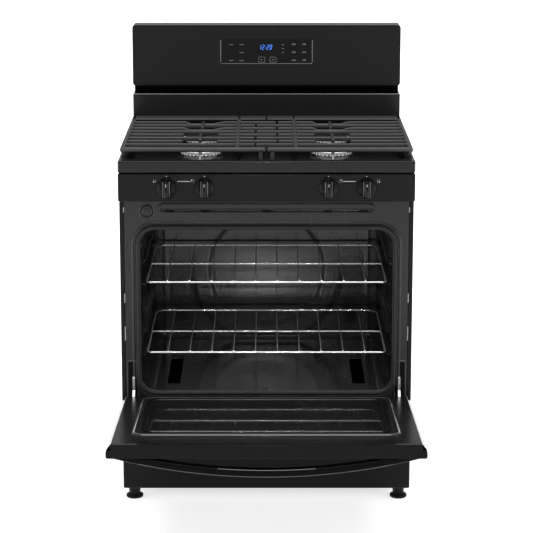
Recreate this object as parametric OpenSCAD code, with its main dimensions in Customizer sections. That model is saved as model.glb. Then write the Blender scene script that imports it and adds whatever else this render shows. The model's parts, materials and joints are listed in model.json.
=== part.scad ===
// Freestanding gas range with four burners, an oven with a drop-down door and a drawer.
// X runs across the front, the wall is the plane y = 0, the front faces -Y and the floor is z = 0.
// The door is drawn closed and then turned about its hinge pins to its open stop.

/* [Overall size] */
// Width over the side panels
body_w = 759; // [620:1:915]
// Depth from the wall to the face of the closed door
body_d = 668; // [560:1:805]
// Height of the cooktop rim above the floor
cooktop_h = 914; // [760:1:1100]
// Height of the backguard above the cooktop rim
backguard_h = 278; // [230:1:335]

/* [Sheet metal] */
// Wall of the side and rear panels
panel_t = 1.2; // [0.8:0.1:1.6]
// Wall of the oven cavity, front frame and cooktop
enamel_t = 1.5; // [1.0:0.1:2.0]
// Wall of the base frame and brackets
frame_steel_t = 2; // [1.5:0.1:3]

/* [Feet and base] */
// Height of the base frame above the floor
foot_h = 31; // [26:1:40]
// Radius of a foot's disc
foot_r = 22.5; // [18:0.5:28]
// Width of a base frame rail
rail_w = 40; // [34:1:48]
// Height of a base frame rail
rail_h = 22; // [18:1:25]

/* [Drawer] */
// Height of the drawer front
drawer_h = 206; // [172:1:247]
// Thickness of the drawer front
drawer_front_t = 18; // [15:1:22]
// Distance from the wall to the drawer tub
drawer_back = 130; // [108:1:156]
// Clearance between a drawer runner and its rail
runner_gap = 0.6; // [0.4:0.1:1.0]

/* [Oven cavity] */
// Space for insulation between a side panel and the cavity
side_space = 52; // [44:1:62]
// Space behind the cavity
rear_space = 125; // [105:1:150]
// Corner radius of the cavity
cavity_r = 40; // [33:1:48]
// Height of the header between the cavity and the top of the door
header_h = 81; // [68:1:97]
// Number of rack positions
rack_levels = 6; // [4:1:7]
// Height of the lowest rack position above the cavity floor
first_level = 28; // [23:1:34]
// Free height over the highest rack position
top_level_gap = 87; // [73:1:104]
// Width of a rack guide
guide_w = 14; // [12:1:17]

/* [Door] */
// Thickness of the door
door_t = 34; // [29:1:41]
// Gap between the front frame and the closed door
seal_gap = 9; // [7.5:0.1:11]
// Height of the hinge pin above the door's bottom edge
pin_up = 8; // [7:0.5:9]
// Distance from the door's inner face to the hinge pin
pin_in = 10; // [9:0.5:12]
// Radius of the hinge pin
pin_r = 4; // [3:0.1:5]
// Radial clearance of the pin in the hinge arm
pin_fit = 0.05; // [0.02:0.01:0.09]
// Distance from the side of the range to the hinge's middle
hinge_in = 31.5; // [29:0.5:35]
// Angle between the closed door and its open stop
door_open = 85; // [80:1:90]
// Height of the door's top trim
trim_h = 12; // [10:1:15]
// Height of the raised middle of the liner
plateau_h = 5; // [3:0.5:6]

/* [Door handle] */
// How far the handle stands out at its middle
handle_out = 46; // [38:1:55]
// Thickness of the handle bar
handle_t = 19.5; // [16:0.5:23]
// Height of the handle bar
handle_h = 28; // [23:1:34]

/* [Cooktop] */
// Height of the cooktop's outer skirt
skirt_h = 29; // [24:1:33]
// Depth of the recessed well
well_depth = 33; // [30:1:36]
// Distance from the middle to a burner
burner_x = 175; // [150:1:190]
// Distance from the wall to the rear burners
rear_burner_y = 232; // [215:1:250]
// Distance between the rear and front burners
burner_pitch = 200; // [190:1:220]
// Radius of a burner's serrated ring
burner_r = 53; // [46:1:58]

/* [Grates] */
// Height of a grate bar
bar_h = 12; // [10:1:14]
// Width of a grate bar
bar_w = 8; // [6:1:9]
// Gap between the cooktop rim and the grate
grate_gap = 11; // [9:1:13]
// Number of cross bars
bars_n = 8; // [7:1:9]

/* [Controls] */
// Height of the control panel
panel_h = 72; // [60:1:80]
// Distance from the middle to an inner knob
knob_x_in = 158; // [140:1:175]
// Distance from the middle to an outer knob
knob_x_out = 255; // [235:1:275]
// Radius of a knob's skirt
knob_r = 24.5; // [21:0.5:29]
// Height of a knob's upright grip
grip_h = 47; // [40:1:54]
// Travel of a pushed knob
knob_push = 3; // [2:0.5:4]
// Radius of a valve stem
stem_r = 4; // [3:0.1:5]
// Radial clearance of a stem in its valve and knob
stem_fit = 0.05; // [0.02:0.01:0.09]

/* [Backguard] */
// Depth of the backguard
guard_d = 65; // [55:1:78]
// Height of the vent slot under the console
vent_slot_h = 22; // [18:1:26]
// Height of the riser under the vent slot, above the cooktop rim
riser_h = 83; // [70:1:95]
// Width of the display window
display_w = 260; // [220:1:300]
// Height of the display window
display_h = 70; // [60:1:84]

/* [Hidden] */
$fn = 48;
e = 0.5; // how far a cutting tool runs past a face

// colours
black_enamel = [0.07, 0.07, 0.075];
grey_enamel = [0.16, 0.16, 0.165];
cast_black = [0.11, 0.11, 0.115];
steel = [0.62, 0.63, 0.64];
zinc = [0.72, 0.73, 0.74];
chrome = [0.8, 0.81, 0.82];
alu = [0.78, 0.78, 0.79];
brass = [0.72, 0.58, 0.3];
plastic_black = [0.05, 0.05, 0.055];
glass_black = [0.03, 0.03, 0.035];
wool = [0.75, 0.72, 0.62];
ceramic = [0.9, 0.88, 0.84];
board_green = [0.1, 0.32, 0.18];

// widths
half_w = body_w / 2;
side_flange = 10;
frame_half = half_w - 12;
cav_half = half_w - side_space;
hinge_x = half_w - hinge_in;

// depths, all negative towards the front
front_y = -body_d;
door_in_y = front_y + door_t;
frame_y = door_in_y + seal_gap;
cav_front = frame_y + enamel_t;
cav_back = -rear_space;
pin_y = door_in_y - pin_in;

// heights from the floor up
side_bot = foot_h - 2;
base_top = foot_h + rail_h;
drawer_bot = foot_h + 7;
drawer_top = drawer_bot + drawer_h;
corner_swing = sqrt(pow(door_t - pin_in, 2) + pow(pin_up, 2));
pin_z = drawer_top + 3.7 + corner_swing;
door_bot = pin_z - pin_up;
cav_z0 = pin_z + 21;

// heights from the cooktop down
pan_z = cooktop_h - skirt_h;
well_z = cooktop_h - well_depth;
panel_top = pan_z - 4;
panel_bot = panel_top - panel_h;
door_top = panel_bot - 2;
trim_z = door_top - trim_h;
cav_z1 = door_top - header_h;
cav_h = cav_z1 - cav_z0;
cav_mid = (cav_z0 + cav_z1) / 2;

// rack positions
level_pitch = (cav_h - first_level - top_level_gap) / (rack_levels - 1);
function level_z(i) = cav_z0 + first_level + i * level_pitch;
rack_fit = 0.4;
side_wire_r = 3;
rack_half = cav_half - guide_w + 3;

// door
door_half = half_w;
liner_half = half_w - 12;
plateau_half = cav_half - 6;
plateau_z0 = cav_z0 + 6;
plateau_z1 = cav_z1 - 6;
window_in_w = 2 * (plateau_half - 28);
window_in_h = plateau_z1 - plateau_z0 - 56;
window_z = (plateau_z0 + plateau_z1) / 2;
window_out_w = window_in_w - 110;
window_out_h = window_in_h - 70;
handle_half = half_w - 13;
bow_r = (pow(handle_half, 2) + pow(handle_out, 2)) / (2 * handle_out);

// hinge
arm_t = 6;
eye_r = pin_r + 3.5;
slot_half = arm_t / 2 + 2;
slot_top = pin_z + 29;
arm_top = pin_z + 59;

// controls
knob_z = (panel_top + panel_bot) / 2;
knob_xs = [-knob_x_out, -knob_x_in, knob_x_in, knob_x_out];
manifold_y = frame_y + 35;
manifold_r = 9;
valve_front = frame_y - 20;
valve_back = manifold_y - manifold_r - 1;
stem_front = front_y - 22;
stem_back = valve_front + 24;

// cooktop
rear_by = -rear_burner_y;
front_by = rear_by - burner_pitch;
tube_z = well_z - 14;
neck_r = 16;
cook_front = front_y - 2;
cook_back = -guard_d - 1;
rim_side = 22;
rim_front = 30;
rim_back = 20;
grate_z = cooktop_h + grate_gap;

// grates
grate_front = front_y + 66;
grate_back = -guard_d - 10;
grate_half = half_w - 2;
rail_deep = 61;
bar_first = grate_back - rail_deep - 44;
bar_pitch = (bar_first - (grate_front + 67)) / (bars_n - 1);
rib_x = 76;

// drawer
drawer_front_half = half_w - 3;
tub_half = half_w - 52;
tub_front = front_y + drawer_front_t;
tub_back = -drawer_back;
tub_z0 = base_top + 6;
tub_z1 = drawer_top - 8;
runner_z = (tub_z0 + tub_z1) / 2 + 20;

// backguard
guard_top = cooktop_h + backguard_h;
riser_top = cooktop_h + riser_h;
console_z = riser_top + vent_slot_h;
guard_half = half_w - 1.5;
display_z = (console_z + guard_top) / 2 + 12;

// gas supply
supply_x = cav_half;
supply_y = -52;
reg_z = 150;

// A plate in the X-Z plane, from y0 to y0 + t
module plate_y(y0, t) {
    translate([0, y0 + t, 0]) rotate([90, 0, 0]) linear_extrude(t) children();
}

// A plate in the Y-Z plane, from x0 to x0 + t
module plate_x(x0, t) {
    translate([x0, 0, 0]) rotate([90, 0, 90]) linear_extrude(t) children();
}

// A block from one corner to the opposite one
module block(a, b) {
    translate(a) cube([b[0] - a[0], b[1] - a[1], b[2] - a[2]]);
}

// A rounded rectangle from one corner to the opposite one
module rounded(x0, y0, x1, y1, r) {
    translate([x0 + r, y0]) square([x1 - x0 - 2 * r, y1 - y0]);
    translate([x0, y0 + r]) square([x1 - x0, y1 - y0 - 2 * r]);
    for (x = [x0 + r, x1 - r], y = [y0 + r, y1 - r]) translate([x, y]) circle(r);
}

// The cavity's outline grown by g
module cavity_outline(g) {
    rounded(-cav_half - g, cav_z0 - g, cav_half + g, cav_z1 + g, cavity_r + g);
}

// A round bar along Y between two depths
module bar_y(x, y0, y1, z, r) {
    translate([x, y1, z]) rotate([90, 0, 0]) cylinder(r = r, h = y1 - y0);
}

// A round bar along X between two places
module bar_x(x0, x1, y, z, r) {
    translate([x0, y, z]) rotate([0, 90, 0]) cylinder(r = r, h = x1 - x0);
}

// Both sides of the range
module both_sides() {
    children();
    mirror([1, 0, 0]) children();
}

// Turns what is drawn for the closed door to the open stop
module opened() {
    translate([0, pin_y, pin_z]) rotate([door_open, 0, 0]) translate([0, -pin_y, -pin_z]) children();
}

// ---- cabinet ----

module side_panel_right() {
    color(black_enamel) {
        block([half_w - panel_t, frame_y, side_bot], [half_w, 0, pan_z]);
        block([half_w - side_flange, frame_y, base_top], [half_w - panel_t, frame_y + panel_t, pan_z]);
    }
}

module side_panel_left() {
    mirror([1, 0, 0]) side_panel_right();
}

module rear_panel() {
    louvre_w = 60;
    louvre_x = 95;
    louvre_z = 22;
    color(zinc) difference() {
        block([-half_w + panel_t, -panel_t, base_top + 14], [half_w - panel_t, 0, pan_z]);
        bar_y(supply_x, -panel_t - e, e, reg_z, 24);
        for (x = [-2.5 : 1 : 2.5], z = [0 : 3])
            translate([x * louvre_x - louvre_w / 2, -panel_t - e, pan_z - 120 + z * louvre_z])
                cube([louvre_w, panel_t + 2 * e, 7]);
    }
}

module base_frame() {
    t = frame_steel_t;
    x1 = half_w - panel_t;
    y0 = base_front;
    y1 = base_back;
    color(zinc) difference() {
        block([-x1, y0, foot_h], [x1, y1, base_top]);
        block([-x1 + rail_w, y0 + rail_w, foot_h - e], [x1 - rail_w, y1 - rail_w, base_top + e]);
        difference() {
            block([-x1 + t, y0 - e, foot_h + t], [x1 - t, y1 + e, base_top + e]);
            block(
                [-x1 + rail_w - t, y0 + rail_w - t, foot_h],
                [x1 - rail_w + t, y1 - rail_w + t, base_top + 2 * e]
            );
        }
        foot_places() translate([0, 0, foot_h - e]) cylinder(r = stud_r + 0.5, h = frame_steel_t + 2 * e);
    }
}

base_front = tub_front + 10;
base_back = -5;
foot_x = half_w - panel_t - rail_w / 2 - 8.3;
stud_r = 5;

module foot_places() {
    for (x = [-foot_x, foot_x], y = [base_front + rail_w / 2, base_back - rail_w / 2 - 2])
        translate([x, y, 0]) children();
}

module foot_brackets() {
    deep = rail_w - 14;
    z0 = foot_h + frame_steel_t;
    color(steel) foot_places() difference() {
        translate([-14, -deep / 2, z0]) cube([28, deep, 4]);
        translate([0, 0, z0 - e]) cylinder(r = stud_r, h = 4 + 2 * e);
    }
}

module levelling_feet() {
    neck = 13;
    collar = 17;
    stud_top = foot_h + 22;
    color(plastic_black) foot_places() rotate_extrude() polygon([
        [0, 0], [foot_r - 2, 0], [foot_r, 2], [foot_r, 6], [foot_r - 3, 10], [neck, 12], [neck, 14],
        [collar, foot_h - 3], [collar, foot_h], [stud_r, foot_h], [stud_r, stud_top], [0, stud_top]
    ]);
}

channel_half = frame_half - 88.5;
channel_z0 = door_top - 37;
channel_z1 = door_top - 11;
channel_r = (channel_z1 - channel_z0) / 2 - 0.01;
emboss = 2.5;
plug_x = -frame_half + 59;
plug_z = channel_z0 + 2;
plug_r = 18;

module front_frame() {
    x1 = frame_half;
    z0 = drawer_top + 6;
    vents = [for (k = [-1, -0.63, 0, 0.63, 1]) k * (channel_half - 29)];
    color(grey_enamel) difference() {
        union() {
            plate_y(frame_y, enamel_t) difference() {
                translate([-x1, z0]) square([2 * x1, panel_bot + 3 - z0]);
                cavity_outline(0);
            }
            // pressed band that carries the seal
            plate_y(frame_y - 1, 1) difference() {
                cavity_outline(18.5);
                cavity_outline(0);
            }
            // long pressed channel under the control panel
            plate_y(frame_y - emboss, emboss)
                rounded(-channel_half, channel_z0, channel_half, channel_z1, channel_r);
            // round pressing of the service plug
            bar_y(plug_x, frame_y - emboss, frame_y, plug_z, plug_r);
        }
        plate_y(frame_y - emboss - e, emboss - 1 + e)
            rounded(-channel_half + 3, channel_z0 + 3, channel_half - 3, channel_z1 - 3, channel_r - 3);
        for (x = vents)
            plate_y(frame_y - emboss - e, emboss + enamel_t + 2 * e)
                rounded(x - 11, channel_z0 - 0.5, x + 11, channel_z0 + 4.5, 2.49);
        bar_y(plug_x, frame_y - emboss - e, frame_y - 1, plug_z, plug_r - 6);
        both_sides() block([hinge_x - slot_half, frame_y - 4, pin_z + 25],
            [hinge_x + slot_half, cav_front + e, arm_top + 6]);
    }
}

module door_gasket() {
    color(grey_enamel) difference() {
        plate_y(door_in_y + 0.3, seal_gap - 1.3) cavity_outline(11);
        plate_y(door_in_y, seal_gap) cavity_outline(1);
        // chamfer round the inside, where the seal leans on the liner
        plate_y(door_in_y, 3) cavity_outline(4);
    }
}

// ---- oven cavity ----

module oven_wall_left() {
    guide_y0 = cav_front + 24;
    guide_y1 = cav_back - 24;
    color(grey_enamel) {
        plate_y(cav_front, cav_back - cav_front) intersection() {
            difference() {
                cavity_outline(enamel_t);
                cavity_outline(0);
            }
            translate([-cav_half - 5, cav_z0 - 5]) square([cavity_r + 5, cav_h + 10]);
        }
        for (i = [0 : rack_levels - 1])
            block([-cav_half - 0.5, guide_y0, level_z(i) - 7], [-cav_half + guide_w, guide_y1, level_z(i)]);
    }
}

module oven_wall_right() {
    mirror([1, 0, 0]) oven_wall_left();
}

module oven_wall_top() {
    x1 = cav_half - cavity_r;
    color(grey_enamel) block([-x1, cav_front, cav_z1], [x1, cav_back, cav_z1 + enamel_t]);
}

probe_x = cav_half - 100;
probe_z = cav_z1 - 38;
probe_r = 3;

module oven_wall_back() {
    color(grey_enamel) difference() {
        union() {
            plate_y(cav_back, enamel_t) cavity_outline(enamel_t);
            // pressed ring in the middle of the wall
            plate_y(cav_back - 2.5, 2.5) intersection() {
                difference() {
                    translate([0, cav_mid - 8]) circle(r = cav_h / 2 - 4, $fn = 96);
                    translate([0, cav_mid - 8]) circle(r = cav_h / 2 - 52, $fn = 96);
                }
                translate([-cav_half, cav_z0 + 10]) square([2 * cav_half, cav_h - 20]);
            }
        }
        bar_y(probe_x, cav_back - 4, cav_back + 4, probe_z, probe_r);
    }
}

floor_slot_w = 34;
floor_slot_y0 = cav_front + 62;
floor_slot_y1 = cav_back - 172;
floor_slot_x = cav_half - cavity_r - 41.5;

module oven_floor() {
    x1 = cav_half - cavity_r;
    color(grey_enamel) difference() {
        block([-x1, cav_front, cav_z0 - enamel_t], [x1, cav_back, cav_z0]);
        both_sides() translate([floor_slot_x - floor_slot_w / 2, floor_slot_y0, cav_z0 - 4])
            cube([floor_slot_w, floor_slot_y1 - floor_slot_y0, 5]);
        translate([0, cav_front + 14, cav_z0 - 4]) cylinder(r = 6, h = 6);
    }
}

module oven_insulation() {
    g = enamel_t + 0.5;
    x1 = half_w - panel_t - 2;
    z0 = cav_z0 + 62;
    color(wool) {
        both_sides() block([cav_half + g, cav_front + 6, z0], [x1, cav_back, cav_z1 + g]);
        block([-x1, cav_front + 6, cav_z1 + g], [x1, cav_back, cav_z1 + 34]);
        difference() {
            block([-cav_half + 20, cav_back + enamel_t + 0.5, cav_z0 + 10], [cav_half - 20, cav_back + 34, cav_z1]);
            bar_y(probe_x, cav_back, cav_back + 60, probe_z, probe_r + 1);
        }
    }
}

module temperature_probe() {
    color(steel) {
        bar_y(probe_x, cav_back - 75, cav_back + 38, probe_z, probe_r);
        bar_y(probe_x, cav_back - 2, cav_back, probe_z, 10);
    }
}

oven_burner_r = 11;
oven_burner_z = (drawer_top + cav_z0 - enamel_t) / 2 - 1;

module oven_burner() {
    y0 = cav_front + 50;
    y1 = cav_back - 20;
    color(steel) {
        bar_y(0, y0, y1, oven_burner_z, oven_burner_r);
        for (y = [y0 + 30, y1 - 30]) block([-5, y - 9, oven_burner_z + 5], [5, y + 9, cav_z0 - enamel_t]);
    }
}

module oven_igniter() {
    y = cav_back - 120;
    color(ceramic) {
        block([oven_burner_r + 5, y - 40, oven_burner_z - 6], [oven_burner_r + 17, y + 40, oven_burner_z + 8]);
        block([oven_burner_r + 5, y + 20, oven_burner_z + 8], [oven_burner_r + 17, y + 36, cav_z0 - enamel_t]);
    }
}

// ---- control panel and gas train ----

module control_panel() {
    t = enamel_t;
    color(black_enamel) difference() {
        block([-half_w, front_y, panel_bot], [half_w, frame_y, panel_top]);
        block([-half_w + t, front_y + 2, panel_bot + t], [half_w - t, frame_y + e, panel_top - t]);
        // the top is open over the gas train, under the cooktop's well
        block(
            [-half_w + t, cook_front + rim_front - 6, panel_top - t - e],
            [half_w - t, frame_y + e, panel_top + e]
        );
        for (x = knob_xs) bar_y(x, front_y - e, front_y + 3, knob_z, stem_r + 1.5);
    }
}

nipple_r = 5;

module gas_manifold() {
    color(steel) difference() {
        union() {
            bar_x(-knob_x_out - 40, supply_x + 6, manifold_y, knob_z, manifold_r);
            bar_y(supply_x, manifold_y, supply_y + 6, knob_z, 6);
            translate([supply_x, supply_y, reg_z + 25]) cylinder(r = 6, h = knob_z - reg_z - 25);
        }
        for (x = knob_xs) bar_y(x, manifold_y - manifold_r - 2, manifold_y - 3, knob_z, nipple_r);
    }
}

module burner_valves() {
    color(brass) for (x = knob_xs) difference() {
        union() {
            block([x - 11, valve_front, knob_z - 12], [x + 11, valve_back, knob_z + 12]);
            bar_y(x, valve_back - 1, manifold_y - 3, knob_z, nipple_r);
        }
        bar_y(x, valve_front - e, stem_back + 2, knob_z, stem_r + stem_fit);
    }
}

module burner_supply_tubes() {
    r = 4;
    color(alu) both_sides() {
        // outer valve to the rear burner
        translate([knob_x_out, valve_front + 12, knob_z + 12]) cylinder(r = r, h = tube_z - knob_z - 12);
        translate([knob_x_out, valve_front + 12, tube_z]) sphere(r);
        bar_y(knob_x_out, valve_front + 12, rear_by, tube_z, r);
        translate([knob_x_out, rear_by, tube_z]) sphere(r);
        bar_x(burner_x + neck_r, knob_x_out, rear_by, tube_z, r);
        // inner valve to the front burner
        translate([knob_x_in, valve_front + 12, knob_z + 12]) cylinder(r = r, h = tube_z - knob_z - 12);
        translate([knob_x_in, valve_front + 12, tube_z]) sphere(r);
        bar_x(knob_x_in, burner_x, valve_front + 12, tube_z, r);
        translate([burner_x, valve_front + 12, tube_z]) sphere(r);
        bar_y(burner_x, valve_front + 12, front_by - neck_r, tube_z, r);
    }
}

inlet_r = 9.4;
inlet_len = 15;

module gas_regulator() {
    color(alu) difference() {
        union() {
            block([supply_x - 28, -78, reg_z - 25], [supply_x + 28, -30, reg_z + 25]);
            bar_y(supply_x, -30, -8, reg_z, 15);
            bar_x(supply_x - 36, supply_x - 28, -54, reg_z, 18);
        }
        bar_y(supply_x, -8 - inlet_len, -8 + e, reg_z, inlet_r);
    }
}

// ---- cooktop ----

module pan_outline(g) {
    rounded(-half_w + g, cook_front + g, half_w - g, cook_back - g, 7 - g);
}

module well_outline(g) {
    rounded(-half_w + rim_side - g, cook_front + rim_front - g,
        half_w - rim_side + g, cook_back - rim_back + g, 24 + g);
}

module cooktop_pan() {
    t = enamel_t;
    color(black_enamel) difference() {
        union() {
            // skirt and rim
            translate([0, 0, pan_z]) linear_extrude(skirt_h) difference() {
                pan_outline(0);
                pan_outline(t);
            }
            translate([0, 0, cooktop_h - t]) linear_extrude(t) difference() {
                pan_outline(0);
                well_outline(0);
            }
            // well
            translate([0, 0, well_z - t]) linear_extrude(well_depth) difference() {
                well_outline(t);
                well_outline(0);
            }
            translate([0, 0, well_z - t]) linear_extrude(t) well_outline(t);
        }
        for (x = [-burner_x, burner_x], y = [rear_by, front_by])
            translate([x, y, well_z - 5]) cylinder(r = neck_r + 6, h = 10);
    }
}

module burner_places() {
    for (x = [-burner_x, burner_x], y = [rear_by, front_by]) translate([x, y, well_z]) children();
}

head_low_r = burner_r - 9;
head_h = 22;
ring_h = 10;
ports = 30;

module burner_heads() {
    color(alu) burner_places() {
        difference() {
            union() {
                translate([0, 0, -19]) cylinder(r = neck_r, h = 20);
                cylinder(r = head_low_r, h = head_h - ring_h + 1);
                translate([0, 0, head_h - ring_h]) cylinder(r = burner_r, h = ring_h);
            }
            for (i = [0 : ports - 1])
                rotate(i * 360 / ports) translate([burner_r - 4, -1.6, head_h - 6.5]) cube([8, 3.2, 8]);
            translate([-4, -burner_r - 3, -1]) cube([8, 14, head_h + 2]);
            translate([0, 0, -20]) cylinder(r = 7, h = 24);
        }
    }
}

module burner_caps() {
    r = burner_r - 5;
    color(cast_black) burner_places() translate([0, 0, head_h]) rotate_extrude()
        polygon([[0, 0], [r - 2, 0], [r, 2], [r, 5], [r - 3, 8], [r - 12, 9.5], [0, 10]]);
}

module spark_electrodes() {
    color(ceramic) burner_places() translate([0, -burner_r + 3.8, 0]) {
        cylinder(r = 3.2, h = 13);
        translate([0, 0, 13]) cylinder(r = 1.2, h = 5);
    }
}

// ---- grates ----

// Cross bar number i, counted from the back
function bar_y_at(i) = bar_first - (i - 1) * bar_pitch;

// A straight piece of a cross bar, lowered by drop
module bar_piece(x0, x1, i, drop) {
    block([x0, bar_y_at(i) - bar_w / 2, grate_z - drop], [x1, bar_y_at(i) + bar_w / 2, grate_z + bar_h - drop]);
}

// Left grate; odd is the list of bars whose fingers reach over the middle
module grate(reach_odd) {
    gap_half = 46;
    finger_y = [rear_by, front_by];
    x0 = -grate_half;
    side_w = 13;
    color(cast_black) {
        block([x0, grate_front, grate_z - 1], [-1.5, grate_front + 13, grate_z + bar_h]);
        block([x0, grate_back - rail_deep, grate_z + bar_h - 5], [-1.5, grate_back, grate_z + bar_h]);
        block([x0, grate_back - 10, grate_z], [-1.5, grate_back, grate_z + bar_h - 5]);
        block([x0, grate_front + 13, grate_z], [x0 + side_w, grate_back - 10, grate_z + bar_h]);
        block([-rib_x - 5, grate_front + 13, grate_z], [-rib_x + 5, grate_back - 10, grate_z + bar_h]);
        for (i = [1 : bars_n]) {
            odd = i % 2 == 1;
            tip = (odd == reach_odd) ? 27 : -31;
            bar_piece(x0 + side_w - 1, -burner_x - gap_half, i, 0);
            bar_piece(-burner_x + gap_half, tip, i, 0);
            if (!odd) bar_piece(-burner_x - gap_half - 1, -burner_x + gap_half + 1, i, 0);
            if (odd && i < bars_n / 2) bar_piece(-burner_x - gap_half - 3, -burner_x + gap_half + 3, i, 5);
            // pads on the inner rib
            translate([-rib_x, bar_y_at(i), grate_z + bar_h - 1]) cylinder(r = 6, h = 3);
        }
        // short fingers over each burner
        for (y = finger_y)
            block([-burner_x - 4, y - 44, grate_z + 2], [-burner_x + 4, y + 44, grate_z + bar_h + 2]);
        // feet on the rim and the rear ledge
        for (x = [x0 + 3, -20], y = [grate_back - 8, grate_front + 3])
            block([x, y, (x < x0 + 10 || y > grate_front + 9) ? cooktop_h : well_z], [x + 10, y + 8, grate_z]);
    }
}

module grate_left() {
    grate(true);
}

module grate_right() {
    mirror([1, 0, 0]) grate(false);
}

// ---- backguard ----

module backguard_riser() {
    t = enamel_t;
    color(black_enamel) difference() {
        block([-guard_half, -guard_d, pan_z], [guard_half, -t, riser_top]);
        block([-guard_half + t, -guard_d + t, pan_z - e], [guard_half - t, e, riser_top - t]);
    }
}

module backguard_console() {
    t = enamel_t;
    color(black_enamel) difference() {
        plate_y(-guard_d, guard_d - t) {
            rounded(-guard_half, console_z, guard_half, guard_top, 9);
            translate([-guard_half, console_z]) square([2 * guard_half, 20]);
        }
        plate_y(-guard_d + t, guard_d) {
            rounded(-guard_half + t, console_z + t, guard_half - t, guard_top - t, 7.5);
            translate([-guard_half + t, console_z + t]) square([2 * guard_half - 2 * t, 20]);
        }
        plate_y(-guard_d - e, t + 2 * e) window_outline(-2);
    }
}

module window_outline(g) {
    rounded(-display_w / 2 - g, display_z - display_h / 2 - g,
        display_w / 2 + g, display_z + display_h / 2 + g, 3 + g);
}

module display_window() {
    color(glass_black) {
        plate_y(-guard_d - 1.5, 1.5) window_outline(0);
        plate_y(-guard_d, 3) window_outline(-2.1);
    }
}

module control_board() {
    color(board_green) {
        block([-display_w / 2 + 10, -guard_d + 18, display_z - display_h / 2 + 6],
            [display_w / 2 - 10, -guard_d + 20, display_z + display_h / 2 - 6]);
        for (x = [-90, 10, 70]) block([x, -guard_d + 20, display_z - 18], [x + 24, -guard_d + 34, display_z + 6]);
        // standoffs to the window
        for (x = [-display_w / 2 + 20, display_w / 2 - 20], z = [display_z - 22, display_z + 22])
            bar_y(x, -guard_d + 3, -guard_d + 18, z, 3);
    }
}

module vent_louvre() {
    fins = 23;
    step = (2 * guard_half - 30) / fins;
    color(grey_enamel) {
        block([-guard_half + 4, -guard_d + 22, riser_top], [guard_half - 4, -guard_d + 24, console_z]);
        for (i = [0 : fins])
            translate([-guard_half + 14 + i * step, -guard_d + 8, riser_top]) cube([2, 14, vent_slot_h]);
    }
}

module backguard_back_cover() {
    color(zinc) block([-guard_half + 2, -enamel_t, pan_z + 2], [guard_half - 2, 0, guard_top - 4]);
}

// ---- hinges fixed to the body ----

module arm_shape() {
    // eye round the pin
    translate([pin_y, pin_z]) circle(eye_r);
    // link up to the frame
    polygon([
        [pin_y - eye_r + 1.5, pin_z], [pin_y + eye_r - 1, pin_z - 3], [frame_y - 1.5, pin_z + 18],
        [frame_y - 1.5, arm_top], [frame_y - 8, arm_top - 4], [frame_y - 8.5, pin_z + 24]
    ]);
    // hook into the receiver
    polygon([
        [frame_y - 2, pin_z + 30], [frame_y + 30, pin_z + 33], [frame_y + 30, arm_top - 4], [frame_y - 2, arm_top]
    ]);
}

module hinge_arms() {
    color(steel) both_sides() difference() {
        plate_x(hinge_x - arm_t / 2, arm_t) arm_shape();
        bar_x(hinge_x - arm_t, hinge_x + arm_t, pin_y, pin_z, pin_r + pin_fit);
    }
}

module hinge_receivers() {
    color(zinc) both_sides() difference() {
        block([hinge_x - 9, cav_front, pin_z + 21], [hinge_x + 9, cav_front + 42, arm_top + 9]);
        block([hinge_x - arm_t / 2, cav_front - e, pin_z + 26], [hinge_x + arm_t / 2, cav_front + 32, arm_top + 4]);
    }
}

// ---- door, drawn closed ----

// The door's outline seen from above, between its face and its liner
module door_outline() {
    polygon([
        [-door_half, front_y], [door_half, front_y], [door_half, front_y + door_t / 2 + 1],
        [liner_half, door_in_y], [-liner_half, door_in_y], [-door_half, front_y + door_t / 2 + 1]
    ]);
}

module door_hollow() {
    t = enamel_t;
    polygon([
        [-door_half + t, front_y + t], [door_half - t, front_y + t], [door_half - t, front_y + door_t / 2 + 0.5],
        [liner_half - 0.5, door_in_y - t], [liner_half - 0.5, door_in_y + 1], [-liner_half + 0.5, door_in_y + 1],
        [-liner_half + 0.5, door_in_y - t], [-door_half + t, front_y + door_t / 2 + 0.5]
    ]);
}

module out_window(g) {
    rounded(-window_out_w / 2 - g, window_z - window_out_h / 2 - g,
        window_out_w / 2 + g, window_z + window_out_h / 2 + g, 26 + g);
}

module in_window(g) {
    rounded(-window_in_w / 2 - g, window_z - window_in_h / 2 - g,
        window_in_w / 2 + g, window_z + window_in_h / 2 + g, 20 + g);
}

module hinge_cut() {
    both_sides() block([hinge_x - slot_half, pin_y - eye_r - 2, door_bot - e],
        [hinge_x + slot_half, door_in_y + e, slot_top]);
}

module door_outer_panel() {
    t = enamel_t;
    color(black_enamel) opened() difference() {
        translate([0, 0, door_bot]) linear_extrude(trim_z - door_bot) door_outline();
        translate([0, 0, door_bot + t]) linear_extrude(trim_z - door_bot) door_hollow();
        block([-liner_half - 3, door_in_y - t, door_bot - e], [liner_half + 3, door_in_y + e, trim_z + e]);
        plate_y(front_y - e, t + 2 * e) out_window(0);
        hinge_cut();
    }
}

module door_outer_glass() {
    color(glass_black) opened() plate_y(front_y + enamel_t, 4) out_window(12);
}

module door_liner() {
    t = enamel_t;
    color(black_enamel) opened() difference() {
        union() {
            block([-liner_half, door_in_y - t, door_bot], [liner_half, door_in_y, trim_z]);
            plate_y(door_in_y, plateau_h) rounded(-plateau_half, plateau_z0, plateau_half, plateau_z1, 30);
        }
        plate_y(door_in_y - t - e, plateau_h + e)
            rounded(-plateau_half + t, plateau_z0 + t, plateau_half - t, plateau_z1 - t, 30 - t);
        plate_y(door_in_y, plateau_h + e) in_window(0);
        hinge_cut();
    }
}

module door_inner_glass() {
    y1 = door_in_y + plateau_h - enamel_t;
    color(glass_black) opened() plate_y(y1 - 4, 4) in_window(11);
}

module door_insulation() {
    x1 = hinge_x - 14;
    color(wool) opened() difference() {
        block([-x1, front_y + 7, door_bot + 14], [x1, door_in_y - 8, trim_z - 8]);
        plate_y(front_y, door_t) out_window(20);
    }
}

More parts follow.
